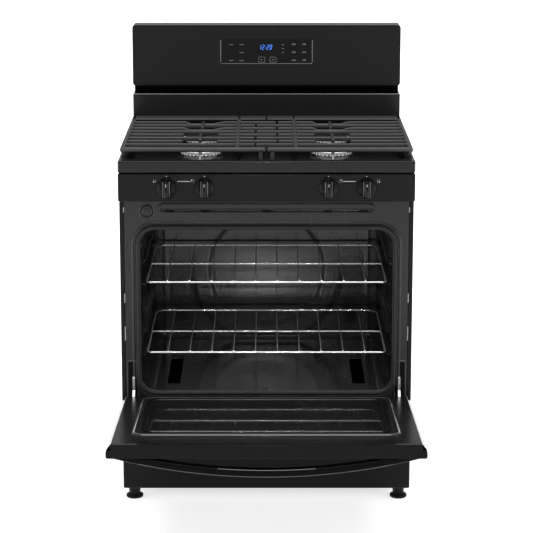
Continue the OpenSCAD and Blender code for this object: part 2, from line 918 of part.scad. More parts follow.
module door_top_trim() {
    slots = 9;
    slot_pitch = 2 * (liner_half - 52) / slots;
    slot_w = slot_pitch - 18;
    color(black_enamel) opened() difference() {
        translate([0, 0, trim_z]) linear_extrude(trim_h) door_outline();
        // cooling slots that open downwards into the door
        for (i = [-(slots - 1) / 2 : (slots - 1) / 2])
            translate([i * slot_pitch - slot_w / 2, front_y + 8, trim_z - e])
                cube([slot_w, door_t - 16, trim_h - 3 + e]);
    }
}

module door_handle() {
    z0 = door_top - handle_h - 2;
    color(plastic_black) opened() translate([0, 0, z0]) linear_extrude(handle_h) intersection() {
        translate([0, front_y - handle_out + bow_r]) difference() {
            circle(bow_r, $fn = 360);
            circle(bow_r - handle_t, $fn = 360);
        }
        translate([-handle_half, front_y - handle_out - 5]) square([2 * handle_half, handle_out + 5]);
    }
}

module hinge_channels() {
    t = frame_steel_t;
    z1 = pin_z + 150;
    color(zinc) opened() both_sides() difference() {
        block([hinge_x - 9, front_y + enamel_t, door_bot + enamel_t], [hinge_x + 9, door_in_y - enamel_t, z1]);
        block([hinge_x - 9 + t, front_y + enamel_t + t, door_bot], [hinge_x + 9 - t, door_in_y, z1 + e]);
        bar_x(hinge_x - 12, hinge_x + 12, pin_y, pin_z, pin_r);
    }
}

module hinge_pins() {
    color(steel) opened() both_sides() bar_x(hinge_x - 11.5, hinge_x + 11.5, pin_y, pin_z, pin_r);
}

// ---- drawer ----

module drawer_front() {
    t = enamel_t;
    x1 = drawer_front_half;
    color(black_enamel) difference() {
        block([-x1, front_y, drawer_bot], [x1, tub_front, drawer_top]);
        block([-x1 + t, front_y + t, drawer_bot + t], [x1 - t, tub_front + e, drawer_top - t]);
    }
}

module drawer_tub() {
    t = panel_t;
    x1 = tub_half;
    color(zinc) {
        difference() {
            block([-x1, tub_front, tub_z0], [x1, tub_back, tub_z1]);
            block([-x1 + t, tub_front + t, tub_z0 + t], [x1 - t, tub_back - t, tub_z1 + e]);
        }
        // stiffening ribs that hold the front
        both_sides()
            block([x1 - 60, tub_front - drawer_front_t + enamel_t, tub_z0 + 10], [x1 - 50, tub_front, tub_z1 - 10]);
    }
}

rail_x = tub_half + 9;

module drawer_runners() {
    color(steel) both_sides() block([tub_half, tub_front + 10, runner_z - 9], [rail_x, tub_back - 6, runner_z + 9]);
}

module drawer_rails() {
    x0 = rail_x + runner_gap;
    x1 = half_w - panel_t;
    y0 = tub_front + 14;
    y1 = tub_back + 2;
    color(zinc) both_sides() {
        difference() {
            block([x0 - 6, y0, runner_z - 13], [x0 + 12, y1, runner_z + 13]);
            block([x0 - 6 - e, y0 - e, runner_z - 9 - runner_gap], [x0, y1 + e, runner_z + 9 + runner_gap]);
        }
        for (y = [y0 + 30, y1 - 60]) block([x0 + 12, y, runner_z - 13], [x1, y + 30, runner_z + 13]);
    }
}

// ---- racks ----

rack_front = cav_front + 28;
rack_back = cav_back - 32;
wires_n = 10;
wire_pitch = 2 * rack_half / (wires_n + 1);
thin_r = 1.7;
cross_r = 2.8;

// A rack whose side wires lie at height z
module rack(z) {
    zc = z + rack_fit + side_wire_r;
    zt = zc + side_wire_r + thin_r - 0.6;
    mid_y = (rack_front + rack_back) / 2 - 10;
    corner = 34;
    color(chrome) {
        // frame: side wires, rounded back corners and a raised back stop
        for (s = [-1, 1]) {
            bar_y(s * (rack_half - side_wire_r), rack_front, rack_back - corner, zc, side_wire_r);
            translate([s * (rack_half - side_wire_r - corner), rack_back - corner, zc])
                rotate(s > 0 ? 0 : 90) rotate_extrude(angle = 90) translate([corner, 0]) circle(side_wire_r);
        }
        bar_x(-rack_half + side_wire_r + corner, rack_half - side_wire_r - corner, rack_back, zc, side_wire_r);
        bar_x(-rack_half + 3, rack_half - 3, rack_front + 3, zc, cross_r);
        bar_x(-rack_half + 3, rack_half - 3, mid_y, zc, cross_r);
        for (i = [0 : wires_n - 1])
            bar_y((i - (wires_n - 1) / 2) * wire_pitch, rack_front, rack_back + 2, zt, thin_r);
    }
}

module oven_rack_upper() {
    rack(level_z(rack_levels - 2));
}

module oven_rack_lower() {
    rack(level_z(1));
}

// ---- burner valve stems and knobs ----

module valve_stem(x) {
    color(steel) difference() {
        bar_y(x, stem_front, stem_back, knob_z, stem_r);
        block([x - 5, stem_front - e, knob_z + 2.6], [x + 5, stem_front + 16, knob_z + 5]);
    }
}

module burner_knob(x) {
    skirt_back = front_y - knob_push - 1.2;
    skirt_t = 9;
    grip_w = 13;
    grip_front = front_y - 34;
    color(plastic_black) difference() {
        union() {
            translate([x, skirt_back, knob_z]) rotate([90, 0, 0])
                rotate_extrude() polygon([
                    [0, 0], [knob_r, 0], [knob_r, 2], [knob_r - 3, skirt_t - 1], [knob_r - 6, skirt_t], [0, skirt_t]
                ]);
            block([x - grip_w / 2, grip_front, knob_z - grip_h / 2],
                [x + grip_w / 2, skirt_back - skirt_t + 1, knob_z + grip_h / 2]);
        }
        bar_y(x, stem_front - knob_push - 1, skirt_back + e, knob_z, stem_r + stem_fit);
    }
}

side_panel_left();
side_panel_right();
rear_panel();
base_frame();
foot_brackets();
levelling_feet();
front_frame();
door_gasket();
oven_wall_left();
oven_wall_right();
oven_wall_top();
oven_wall_back();
oven_floor();
oven_insulation();
control_panel();
gas_manifold();
burner_valves();
burner_supply_tubes();
gas_regulator();
oven_burner();
oven_igniter();
temperature_probe();
cooktop_pan();
burner_heads();
burner_caps();
spark_electrodes();
backguard_console();
backguard_riser();
vent_louvre();
backguard_back_cover();
display_window();
control_board();
hinge_receivers();
hinge_arms();
drawer_rails();
door_outer_panel();
door_outer_glass();
door_liner();
door_inner_glass();
door_insulation();
door_top_trim();
door_handle();
hinge_channels();
hinge_pins();
drawer_front();
drawer_tub();
drawer_runners();
oven_rack_upper();
oven_rack_lower();
grate_left();
grate_right();
valve_stem(knob_xs[0]);  // valve_stem_1
valve_stem(knob_xs[1]);  // valve_stem_2
valve_stem(knob_xs[2]);  // valve_stem_3
valve_stem(knob_xs[3]);  // valve_stem_4
burner_knob(knob_xs[0]);  // burner_knob_1
burner_knob(knob_xs[1]);  // burner_knob_2
burner_knob(knob_xs[2]);  // burner_knob_3
burner_knob(knob_xs[3]);  // burner_knob_4
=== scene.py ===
import json
import math
import bmesh
import bpy
import numpy as np
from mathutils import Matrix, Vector


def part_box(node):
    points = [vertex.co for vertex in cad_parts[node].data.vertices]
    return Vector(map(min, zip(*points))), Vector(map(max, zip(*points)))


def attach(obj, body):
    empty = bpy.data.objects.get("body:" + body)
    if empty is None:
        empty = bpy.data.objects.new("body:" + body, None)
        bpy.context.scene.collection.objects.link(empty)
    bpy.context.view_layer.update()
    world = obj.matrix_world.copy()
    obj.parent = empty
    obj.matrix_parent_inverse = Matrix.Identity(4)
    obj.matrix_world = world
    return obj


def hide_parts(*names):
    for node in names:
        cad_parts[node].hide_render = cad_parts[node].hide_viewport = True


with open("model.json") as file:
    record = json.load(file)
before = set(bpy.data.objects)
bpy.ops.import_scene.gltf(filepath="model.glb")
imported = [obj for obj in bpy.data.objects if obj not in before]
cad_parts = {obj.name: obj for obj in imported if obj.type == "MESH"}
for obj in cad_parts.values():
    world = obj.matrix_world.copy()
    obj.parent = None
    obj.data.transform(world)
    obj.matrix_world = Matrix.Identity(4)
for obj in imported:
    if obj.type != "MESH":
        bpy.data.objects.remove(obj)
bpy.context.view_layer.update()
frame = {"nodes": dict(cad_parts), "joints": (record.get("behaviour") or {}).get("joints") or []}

# ---- studio ----
# A plain pale floor that gives off a little light, and plain surroundings that look white but light softly.
# A broad lamp overhead, a small one in front and a tall soft one at each side do the rest.
# The camera stands in front of the range, above its cooktop, and looks slightly down.
stage_scene = bpy.context.scene
stage_scene.view_settings.view_transform = "Standard"
surroundings = bpy.data.worlds.new("white_surroundings")
surroundings.use_nodes = True
sky = surroundings.node_tree
strength_as_light, strength_as_seen = 0.42, 1.05
seen = sky.nodes.new("ShaderNodeLightPath").outputs["Is Camera Ray"]
strength = sky.nodes.new("ShaderNodeMapRange")
strength.inputs["To Min"].default_value = strength_as_light
strength.inputs["To Max"].default_value = strength_as_seen
sky.links.new(seen, strength.inputs["Value"])
sky.links.new(strength.outputs["Result"], sky.nodes["Background"].inputs["Strength"])
sky.nodes["Background"].inputs["Color"].default_value = (1, 1, 1, 1)
stage_scene.world = surroundings

lens_data = bpy.data.cameras.new("camera")
lens_data.lens = 133.4
lens_data.shift_y = -0.1
camera = bpy.data.objects.new("camera", lens_data)
camera_distance, camera_height, degrees_down = 5.605, 1.824, 11.95
camera.location = (0, -camera_distance, camera_height)
camera.rotation_euler = (math.radians(90 - degrees_down), 0, 0)
stage_scene.collection.objects.link(camera)
stage_scene.camera = camera

overhead_data = bpy.data.lights.new("overhead", "SUN")
overhead_data.energy, overhead_data.angle = 2.8, math.radians(60)
overhead = bpy.data.objects.new("overhead", overhead_data)
overhead.rotation_euler = (math.radians(16), 0, 0)
stage_scene.collection.objects.link(overhead)


def aimed_lamp(name, kind, place, aim, watts):
    """A lamp that stands at place and shines towards aim."""
    data = bpy.data.lights.new(name, kind)
    data.energy = watts
    lamp = bpy.data.objects.new(name, data)
    lamp.location = place
    lamp.rotation_euler = (Vector(aim) - Vector(place)).to_track_quat("-Z", "Y").to_euler()
    stage_scene.collection.objects.link(lamp)
    return data


front_lamp = aimed_lamp("lamp_front", "SPOT", (0, -6.1, 2.6), (0, -0.4, 0.42), 95)
front_lamp.spot_size, front_lamp.spot_blend, front_lamp.shadow_soft_size = math.radians(15), 1.0, 0.12
for sign, side in ((-1, "left"), (1, "right")):
    side_lamp = aimed_lamp(f"lamp_{side}", "AREA", (sign * 3.2, -1.7, 0.9), (0, -0.7, 0.8), 32)
    side_lamp.shape, side_lamp.size, side_lamp.size_y = "RECTANGLE", 0.6, 2.0


class Channel:
    """One socket of a material's nodes: arithmetic on it adds Math nodes, and add() makes any other node."""

    def __init__(self, tree, socket):
        self.tree, self.socket = tree, socket

    def add(self, kind, settings, sockets, out=0):
        made = self.tree.nodes.new(kind)
        for key, value in settings.items():
            setattr(made, key, value)
        for key, value in sockets.items():
            if isinstance(value, Channel):
                self.tree.links.new(value.socket, made.inputs[key])
            else:
                made.inputs[key].default_value = value
        return Channel(self.tree, made.outputs[out])

    def math(self, operation, first, second):
        return self.add("ShaderNodeMath", {"operation": operation}, {0: first, 1: second})

    def __add__(self, other):
        return self.math("ADD", self, other)

    def __mul__(self, other):
        return self.math("MULTIPLY", self, other)

    def __gt__(self, other):
        return self.math("GREATER_THAN", self, other)

    def noise(self, scale, detail=2.0, rough=0.5):
        return self.add("ShaderNodeTexNoise", {},
                        {"Vector": self, "Scale": scale, "Detail": detail, "Roughness": rough})

    def stretched(self, x, y, z):
        return self.add("ShaderNodeMapping", {}, {"Vector": self, "Scale": (x, y, z)})

    def bump(self, strength, distance):
        return self.add("ShaderNodeBump", {}, {"Height": self, "Strength": strength, "Distance": distance})

    def tint(self, first, second):
        """The colour first where this is 0 and second where it is 1."""
        return self.add("ShaderNodeMix", {"data_type": "RGBA"},
                        {0: self, 6: (*first, 1), 7: (*second, 1)}, 2)


def finish_of(name, fixed, varying):
    """A material: fixed sets the shader's sockets, and varying gives the links, worked out from the place."""
    made = bpy.data.materials.new(name)
    made.use_nodes = True
    tree = made.node_tree
    shader = tree.nodes["Principled BSDF"]
    for key, value in fixed.items():
        shader.inputs[key].default_value = value
    place = Channel(tree, tree.nodes.new("ShaderNodeTexCoord").outputs["Object"])
    for key, link in varying(place).items():
        tree.links.new(link.socket, shader.inputs[key])
    return made


def floor_look(p):
    return {"Base Color": p.noise(3.0).tint((0.86, 0.86, 0.86), (0.9, 0.9, 0.9)),
            "Emission Color": p.noise(3.0).tint((0.97, 0.97, 0.97), (1.0, 1.0, 1.0)),
            "Roughness": p.noise(20.0) * 0.1 + 0.7}


floor_finish = finish_of("studio_floor", {"Specular IOR Level": 0.1, "Emission Strength": 0.68}, floor_look)
floor_mesh = bpy.data.meshes.new("studio_floor")
far = 30
floor_mesh.from_pydata([(-far, -far, 0), (far, -far, 0), (far, far, 0), (-far, far, 0)], [], [(0, 1, 2, 3)])
floor_mesh.materials.append(floor_finish)
floor = bpy.data.objects.new("studio_floor", floor_mesh)
stage_scene.collection.objects.link(floor)


# ---- side panels ----
# Two folded sheets of steel in baked black enamel, screwed to the base frame and the front frame.
# The enamel has the slight ripple that sprayed enamel keeps.
def ripple_look(base, shine, spread):
    """Sprayed enamel: a fine ripple in the surface, and slow changes of shine."""
    def look(p):
        wave = p.noise(140.0, 1.0)
        cloud = p.noise(9.0, 3.0)
        return {"Base Color": cloud.tint(base, tuple(1.35 * b for b in base)),
                "Roughness": cloud * spread + shine,
                "Normal": wave.bump(0.035, 0.002)}
    return look


black_enamel = finish_of("black_enamel", {"Specular IOR Level": 0.08},
                         ripple_look((0.0062, 0.0062, 0.0064), 0.1, 0.06))


def repaint(finish, *nodes):
    """The CAD nodes keep their shape and get this finish."""
    for name in nodes:
        slots = frame["nodes"][name].data.materials
        slots.clear()
        slots.append(finish)


repaint(black_enamel, "side_panel_left", "side_panel_right")


# ---- rear panel, base frame and back cover ----
# Galvanised sheet steel with visible zinc spangle, left bare where the range isn't seen.
# The base frame's front edge shows as a bright line under the drawer.
def spangle_look(p):
    """Zinc spangle: each crystal has its own shade, shine and tilt."""
    cell = p.add("ShaderNodeTexVoronoi", {}, {"Vector": p, "Scale": 90.0}, 1)
    fine = p.noise(700.0)
    grey = cell.add("ShaderNodeSeparateColor", {}, {0: cell})
    return {"Base Color": grey.tint((0.30, 0.31, 0.32), (0.43, 0.44, 0.45)),
            "Roughness": grey * 0.2 + 0.28,
            "Normal": (grey * 0.4 + fine * 0.6).bump(0.06, 0.001)}


zinc = finish_of("galvanised_steel", {"Metallic": 1.0}, spangle_look)
repaint(zinc, "rear_panel", "base_frame", "backguard_back_cover", "drawer_rails",
        "hinge_receivers", "hinge_channels")


# ---- levelling feet ----
# Four moulded black feet: a wide disc with a finger grip round it, a neck, a collar under the base frame,
# and a threaded stud that screws into a steel bracket.
def turned(profile, around, turns=64, shape=None):
    """A profile of (radius, height) carried round an upright axis: x = r cos a, y = r sin a.

    shape gives a factor for r from the angle and the height."""
    profile = np.array(profile, float)
    a = np.linspace(0, 2 * math.pi, turns, endpoint=False)
    r = np.repeat(profile[:, :1], turns, 1)
    if shape is not None:
        r = r * shape(a[None, :], profile[:, 1:2])
    z = np.repeat(profile[:, 1:], turns, 1)
    x0, y0, z0 = around
    return np.stack([x0 + r * np.cos(a), y0 + r * np.sin(a), z0 + z], -1)


def skin(points, close=False, caps=True):
    """Vertices and faces of a grid whose second direction goes round, with its rows joined by quads.

    caps closes both ends, and close joins the last row to the first."""
    rows, around, _ = points.shape
    i, j = np.meshgrid(np.arange(rows if close else rows - 1), np.arange(around), indexing="ij")
    k, m = (i + 1) % rows, (j + 1) % around
    quads = np.stack([i * around + j, i * around + m, k * around + m, k * around + j], -1).reshape(-1, 4)
    faces = quads.tolist()
    if caps and not close:
        faces.append(list(range(around))[::-1])
        faces.append([(rows - 1) * around + n for n in range(around)])
    return points.reshape(-1, 3), faces


def piece(name, skins, finish, body, replaces=(), wall=0.0, crease=35, outward=True):
    """Joins skins into one object, closes its seams, turns its faces outwards, and hands it to the frame."""
    points, faces, count = [], [], 0
    for p, f in skins:
        points.append(np.asarray(p, float))
        faces += [[n + count for n in face] for face in f]
        count += len(p)
    mesh = bpy.data.meshes.new(name)
    mesh.from_pydata(np.concatenate(points).tolist(), [], faces)
    worker = bmesh.new()
    worker.from_mesh(mesh)
    bmesh.ops.remove_doubles(worker, verts=worker.verts, dist=1e-5)
    bmesh.ops.dissolve_degenerate(worker, edges=worker.edges, dist=1e-6)
    if outward:
        bmesh.ops.recalc_face_normals(worker, faces=worker.faces)
    worker.to_mesh(mesh)
    worker.free()
    mesh.polygons.foreach_set("use_smooth", [True] * len(mesh.polygons))
    mesh.set_sharp_from_angle(angle=math.radians(crease))
    mesh.materials.append(finish)
    made = bpy.data.objects.new(name, mesh)
    stage_scene.collection.objects.link(made)
    if wall:
        sheet = made.modifiers.new("wall", "SOLIDIFY")
        sheet.thickness, sheet.offset = wall, -1
    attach(made, body)
    if replaces:
        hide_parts(*replaces)
    return made


def moulded_look(base, shine, grain):
    """Moulded plastic: an even fine grain with slight shine changes."""
    def look(p):
        fine = p.noise(grain, 3.0)
        return {"Base Color": fine.tint(base, tuple(1.5 * b for b in base)),
                "Roughness": p.noise(30.0) * 0.12 + shine,
                "Normal": fine.bump(0.12, 0.0004)}
    return look


foot_plastic = finish_of("foot_plastic", {"Specular IOR Level": 0.15},
                         moulded_look((0.004, 0.004, 0.0042), 0.42, 1500.0))
feet_lo, feet_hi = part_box("levelling_feet")
foot_r = 0.0225
foot_profile = [(0.0001, 0), (foot_r - 0.0015, 0), (foot_r, 0.0012), (foot_r, 0.0062),
                (foot_r - 0.0016, 0.0078), (0.0165, 0.0092), (0.0142, 0.0112), (0.0140, 0.0142),
                (0.0152, 0.0160), (0.0156, 0.0250), (0.0171, 0.0275), (0.0171, 0.0308), (0.0050, 0.0310),
                (0.0050, 0.0529), (0.0001, 0.0530)]


def finger_grip(a, z):
    """Twelve shallow flutes round the disc."""
    return 1 - 0.035 * (np.cos(12 * a) > 0.55) * (z < 0.0075)


piece("levelling_feet.moulded",
      [skin(turned(foot_profile, (x, y, 0), 72, finger_grip))
       for x in (feet_lo.x + foot_r, feet_hi.x - foot_r) for y in (feet_lo.y + foot_r, feet_hi.y - foot_r)],
      foot_plastic, "range_body", ["levelling_feet"])


# ---- bright steel parts ----
# Brackets, the gas pipe, the oven burner, the hinge arms and their pins, the runners and the valve stems
# are plain rolled or drawn steel, with a fine lengthwise grain and a few darker patches.
def rolled_look(p):
    """Rolled steel: long streaks, over faint warm patches."""
    streak = p.stretched(12.0, 900.0, 12.0).noise(1.0, 3.0)
    patch = p.noise(14.0, 4.0)
    return {"Base Color": patch.tint((0.5, 0.49, 0.47), (0.68, 0.68, 0.68)),
            "Roughness": streak * 0.22 + 0.2,
            "Normal": streak.bump(0.05, 0.0006)}


steel = finish_of("bright_steel", {"Metallic": 1.0}, rolled_look)
repaint(steel, "foot_brackets", "gas_manifold", "oven_burner", "hinge_arms", "hinge_pins", "drawer_runners",
        "temperature_probe", "valve_stem_1", "valve_stem_2", "valve_stem_3", "valve_stem_4")


# ---- front frame ----
# One enamelled steel pressing round the oven's mouth: a band for the door seal, a long vented channel
# under the control panel, and a round plugged hole. Its porcelain enamel carries tiny pale flecks.
def porcelain_look(base, fleck, shine, wave=0.05):
    """Porcelain enamel: pale flecks in a dark ground, under a slightly wavy gloss."""
    def look(p):
        spot = p.noise(1100.0, 1.0) > 0.71
        cloud = p.noise(6.0, 3.0)
        return {"Base Color": (spot * 0.8 + cloud * 0.2).tint(base, fleck),
                "Roughness": cloud * 0.1 + shine,
                "Normal": p.noise(90.0, 2.0).bump(wave, 0.002)}
    return look


frame_enamel = finish_of("front_frame_enamel", {"Specular IOR Level": 0.24},
                         porcelain_look((0.010, 0.010, 0.0103), (0.045, 0.045, 0.045), 0.22))


def outline(x0, z0, x1, z1, r, arc=10):
    """A rectangle with round corners: each corner is its centre plus r times a quarter of the unit circle."""
    a = np.linspace(0, math.pi / 2, arc)
    centres = ((x1 - r, z1 - r), (x0 + r, z1 - r), (x0 + r, z0 + r), (x1 - r, z0 + r))
    corners = []
    for quarter, (x, z) in enumerate(centres):
        b = a + quarter * math.pi / 2
        corners.append(np.stack([x + r * np.cos(b), z + r * np.sin(b)], -1))
    return np.concatenate(corners)


def grown(rect, g, arc=10):
    """The outline of rect = (x0, z0, x1, z1, r), larger by g on every side."""
    x0, z0, x1, z1, r = rect
    return outline(x0 - g, z0 - g, x1 + g, z1 + g, max(r + g, 1e-4), arc)


def upright(loops, depths):
    """Outlines in X and Z, each at its own depth Y."""
    return np.stack([np.stack([loop[:, 0], np.full(len(loop), depth), loop[:, 1]], -1)
                     for loop, depth in zip(loops, depths)])


def edged(rect, profile):
    """A profile of (growth, depth) carried round a rectangle with round corners."""
    return upright([grown(rect, g) for g, _ in profile], [depth for _, depth in profile])


def level(loops, heights):
    """Outlines in X and Y, each at its own height Z."""
    return np.stack([np.stack([loop[:, 0], loop[:, 1], np.full(len(loop), height)], -1)
                     for loop, height in zip(loops, heights)])


frame_lo, frame_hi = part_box("front_frame")
cavity_lo, cavity_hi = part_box("oven_wall_left")[0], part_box("oven_wall_right")[1]
sheet_t = 0.0015
mouth = (cavity_lo.x + sheet_t, cavity_lo.z + sheet_t, cavity_hi.x - sheet_t, cavity_hi.z - sheet_t, 0.040)
face_y = frame_hi.y - sheet_t
outer_edge = (frame_lo.x, frame_lo.z, frame_hi.x, frame_hi.z, 0.0)


def proud(*steps):
    """A profile of (growth, height above the frame's face), as (growth, depth)."""
    return [(g, face_y - height) for g, height in steps]


frame_profile = [(0.0, frame_hi.y)] + proud(
    (0.0, 0.0002), (0.0006, 0.0014), (0.0016, 0.0021), (0.0028, 0.0022), (0.0038, 0.0016), (0.0048, 0.0006),
    (0.0060, 0.0002), (0.0135, 0.0002), (0.0150, 0.0008), (0.0164, 0.0018), (0.0178, 0.0022), (0.0194, 0.0020),
    (0.0208, 0.0011), (0.0220, 0.0003), (0.0230, 0.0), (0.0238, 0.0))
frame_skin = skin(upright([grown(mouth, g) for g, _ in frame_profile] + [grown(outer_edge, 0.0)] * 2,
                          [depth for _, depth in frame_profile] + [face_y, frame_hi.y]), close=True)
channel = (-0.279, frame_hi.z - 0.040, 0.279, frame_hi.z - 0.014, 0.0129)
channel_profile = proud((0.0, -0.0004), (-0.0002, 0.0012), (-0.0009, 0.0021), (-0.0019, 0.0024),
                        (-0.0028, 0.0018), (-0.0034, 0.0006), (-0.0042, 0.0001))
plug_centre = (-0.3085, frame_hi.z - 0.037)
plug_groove_r = 0.0172


def facing(profile, centre, turns=48):
    """A profile of (radius, depth) carried round an axis along Y, at centre = (x, z)."""
    a = np.linspace(0, 2 * math.pi, turns, endpoint=False)
    p = np.array(profile, float)
    r, depth = p[:, :1], np.repeat(p[:, 1:], turns, 1)
    return np.stack([centre[0] + r * np.cos(a), depth, centre[1] + r * np.sin(a)], -1)


plug_profile = proud((0.0150, -0.0003), (0.0148, 0.0014), (0.0140, 0.0022), (0.0128, 0.0022),
                     (0.0116, 0.0012), (0.0100, 0.0011), (0.0085, 0.0016), (0.0001, 0.0018))
ring_profile = proud((0.0196, -0.0002), (0.0191, 0.0012), (0.0183, 0.0021), (0.0175, 0.0012),
                     (plug_groove_r, 0.0))
arm_lo, arm_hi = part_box("hinge_arms")
right_pocket = (arm_hi.x - 0.0155, mouth[1] - 0.0290, arm_hi.x + 0.0135, mouth[1] + 0.081, 0.006)
left_pocket = (-right_pocket[2], right_pocket[1], -right_pocket[0], *right_pocket[3:])
pockets = [left_pocket, right_pocket]
# The beads, the ring round the plug and the edge of the door liner's raised middle are much paler than the
# frame's enamel: painted highlight lines along their crests.
bead_painted_highlight = finish_of("bead_painted_highlight", {"Specular IOR Level": 0.5},
                        porcelain_look((0.07, 0.07, 0.07), (0.11, 0.11, 0.11), 0.3))
bead_profile = proud((-0.0011, -0.0002), (-0.0008, 0.0012), (0.0, 0.0023), (0.0008, 0.0012),
                     (0.0011, -0.0002))
band_bead = (mouth[0] - 0.013, mouth[1] - 0.020, mouth[2] + 0.013, mouth[3] + 0.0200, 0.056)
mouth_bead = (mouth[0] - 0.0012, mouth[1] - 0.0012, mouth[2] + 0.0012, mouth[3] + 0.0012, 0.0412)
piece("front_frame.beads",
      [skin(edged(rect, bead_profile), caps=False) for rect in [band_bead, mouth_bead] + pockets]
      + [skin(facing(ring_profile, plug_centre), caps=False)], bead_painted_highlight, "range_body")
piece("front_frame.pressed",
      [frame_skin, skin(edged(channel, channel_profile)), skin(facing(plug_profile, plug_centre))],
      frame_enamel, "range_body", ["front_frame"])


def plate(rect, back, front, arc=10):
    """A flat plate with round corners between two depths."""
    return skin(upright([outline(*rect, arc)] * 2, [back, front]))


# A near-black finish for hollows and gaps: painted shade.
vent_painted_shade = finish_of("vent_shadow", {"Specular IOR Level": 0.1},
                       moulded_look((0.001, 0.001, 0.001), 0.7, 900.0))
pocket_rim = 0.0030
# Near-black plates in the pockets round the hinge arms and in the groove round the plug: painted shade in these
# hollows.
piece("front_frame.pockets",
      [skin(upright([grown(rect, -pocket_rim)] * 2, [face_y - 0.0004, face_y + 0.0003]))
       for rect in pockets]
      + [skin(facing([(plug_groove_r, face_y + 0.0003), (plug_groove_r, face_y - 0.0004)], plug_centre))],
      vent_painted_shade, "range_body")
# Near-black strips in the seams between the frame and the side panels: painted shade in the gaps.
seam_w = 0.0022
seams, clips = [], []
for sign in (-1, 1):
    low, high = sorted((sign * frame_hi.x, sign * (frame_hi.x + seam_w)))
    seams.append(plate((low, frame_lo.z + 0.002, high, frame_hi.z - 0.002, 0.0004),
                       face_y + 0.0004, face_y + 0.0016, 3))
    for clip_lo, clip_hi in ((0.430, 0.468), (0.532, 0.556), (0.772, 0.786)):
        clips.append(plate((low + 0.0003, clip_lo, high - 0.0003, clip_hi, 0.0006),
                           face_y - 0.0004, face_y + 0.0006, 3))
piece("front_frame.seams", seams, vent_painted_shade, "range_body")
clip_steel = finish_of("clip_steel", {"Metallic": 0.3}, moulded_look((0.30, 0.30, 0.30), 0.35, 900.0))
piece("front_frame.clips", clips, clip_steel, "range_body")
# Near-black plates in the channel's vents: painted shade in the openings.
vent_half, vent_lo, vent_hi, vent_r = 0.0115, channel[1] + 0.0002, channel[1] + 0.0062, 0.0029
piece("front_frame.vents",
      [plate((x - vent_half, vent_lo, x + vent_half, vent_hi, vent_r), face_y - 0.0026, face_y + 0.0003)
       for x in (-0.25, -0.1575, 0.0, 0.1575, 0.25)], vent_painted_shade, "range_body")


# ---- door seal ----
# A woven glass-fibre rope in a loop round the oven's mouth, clipped into the front frame.
# Its section is a flattened oval, and its fine weave runs on the slant.
def carried(loop, section):
    """A closed section of (outward, depth) carried round a closed outline in X and Z, along its normals."""
    ahead = np.roll(loop, -1, 0) - np.roll(loop, 1, 0)
    normal = np.stack([ahead[:, 1], -ahead[:, 0]], -1)
    normal /= np.linalg.norm(normal, axis=1)[:, None]
    out, depth = section[:, 0], section[:, 1]
    x = loop[None, :, 0] + out[:, None] * normal[None, :, 0]
    z = loop[None, :, 1] + out[:, None] * normal[None, :, 1]
    return np.stack([x, np.repeat(depth[:, None], len(loop), 1), z], -1)


def rope_look(p):
    """Woven rope: a slanting wave of fine strands."""
    strand = p.add("ShaderNodeTexWave", {"bands_direction": "DIAGONAL"},
                   {"Vector": p, "Scale": 260.0, "Distortion": 0.6}, 1)
    return {"Base Color": strand.tint((0.006, 0.006, 0.006), (0.018, 0.018, 0.018)),
            "Roughness": strand * 0.1 + 0.6, "Normal": strand.bump(0.3, 0.0006)}


rope = finish_of("seal_rope", {"Specular IOR Level": 0.3}, rope_look)
seal_lo, seal_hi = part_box("door_gasket")
turn = np.linspace(0, 2 * math.pi, 20, endpoint=False)
seal_section = np.stack([0.0045 * np.cos(turn),
                         (seal_lo.y + seal_hi.y) / 2 + (seal_hi.y - seal_lo.y) / 2 * np.sin(turn)], -1)
piece("door_gasket.rope", [skin(carried(grown(mouth, 0.006, 14), seal_section), close=True)],
      rope, "range_body", ["door_gasket"])


# ---- oven cavity ----
# Enamelled steel walls with round corners. Six pressed ribs on each side carry the racks, the back wall has a
# large pressed ring, and the floor, a separate plate with two long slots, lies over the oven burner.
cavity_enamel = finish_of("cavity_enamel", {"Specular IOR Level": 0.42},
                          porcelain_look((0.0050, 0.0047, 0.0042), (0.05, 0.048, 0.043), 0.13))
guide_in = 0.014
level_count, first_level, above_last = 6, 0.028, 0.087
level_span = (mouth[3] - mouth[1]) - first_level - above_last
levels = [mouth[1] + first_level + i * level_span / (level_count - 1) for i in range(level_count)]


def bump_of(t, half, soft):
    """1 inside half, 0 outside half + soft, with a smooth step between."""
    s = np.clip((half + soft - np.abs(t)) / soft, 0, 1)
    return s * s * (3 - 2 * s)


def side_wall(sign):
    """The wall's outline runs up one side with round corners, and each rib pushes it inwards.

    A rib is one smooth bump in height times another in depth."""
    r = mouth[4]
    a = np.linspace(-math.pi / 2, 0, 12)
    flat = np.linspace(mouth[1] + r, mouth[3] - r, 150)
    out = np.concatenate([mouth[2] - r + r * np.cos(a), np.full(len(flat), mouth[2]),
                          mouth[2] - r + r * np.cos(a[::-1])])
    z = np.concatenate([mouth[1] + r + r * np.sin(a), flat, mouth[3] - r - r * np.sin(a[::-1])])
    y = np.linspace(cavity_lo.y, cavity_hi.y, 90)
    along = bump_of(y - (y[0] + 0.024 + y[-1] - 0.024) / 2, (y[-1] - y[0]) / 2 - 0.040, 0.016)
    push = sum(bump_of(z - (h - 0.0038), 0.0030, 0.0045) for h in levels)
    x = out[:, None] - guide_in * np.clip(push, 0, 1)[:, None] * along[None, :]
    yy, zz = np.meshgrid(y, z)
    return np.stack([sign * x, yy, zz], -1)


def open_skin(points):
    """Vertices and faces of a grid that doesn't go round."""
    rows, cols, _ = points.shape
    i, j = np.meshgrid(np.arange(rows - 1), np.arange(cols - 1), indexing="ij")
    quads = np.stack([i * cols + j, i * cols + j + 1, (i + 1) * cols + j + 1, (i + 1) * cols + j], -1)
    return points.reshape(-1, 3), quads.reshape(-1, 4).tolist()


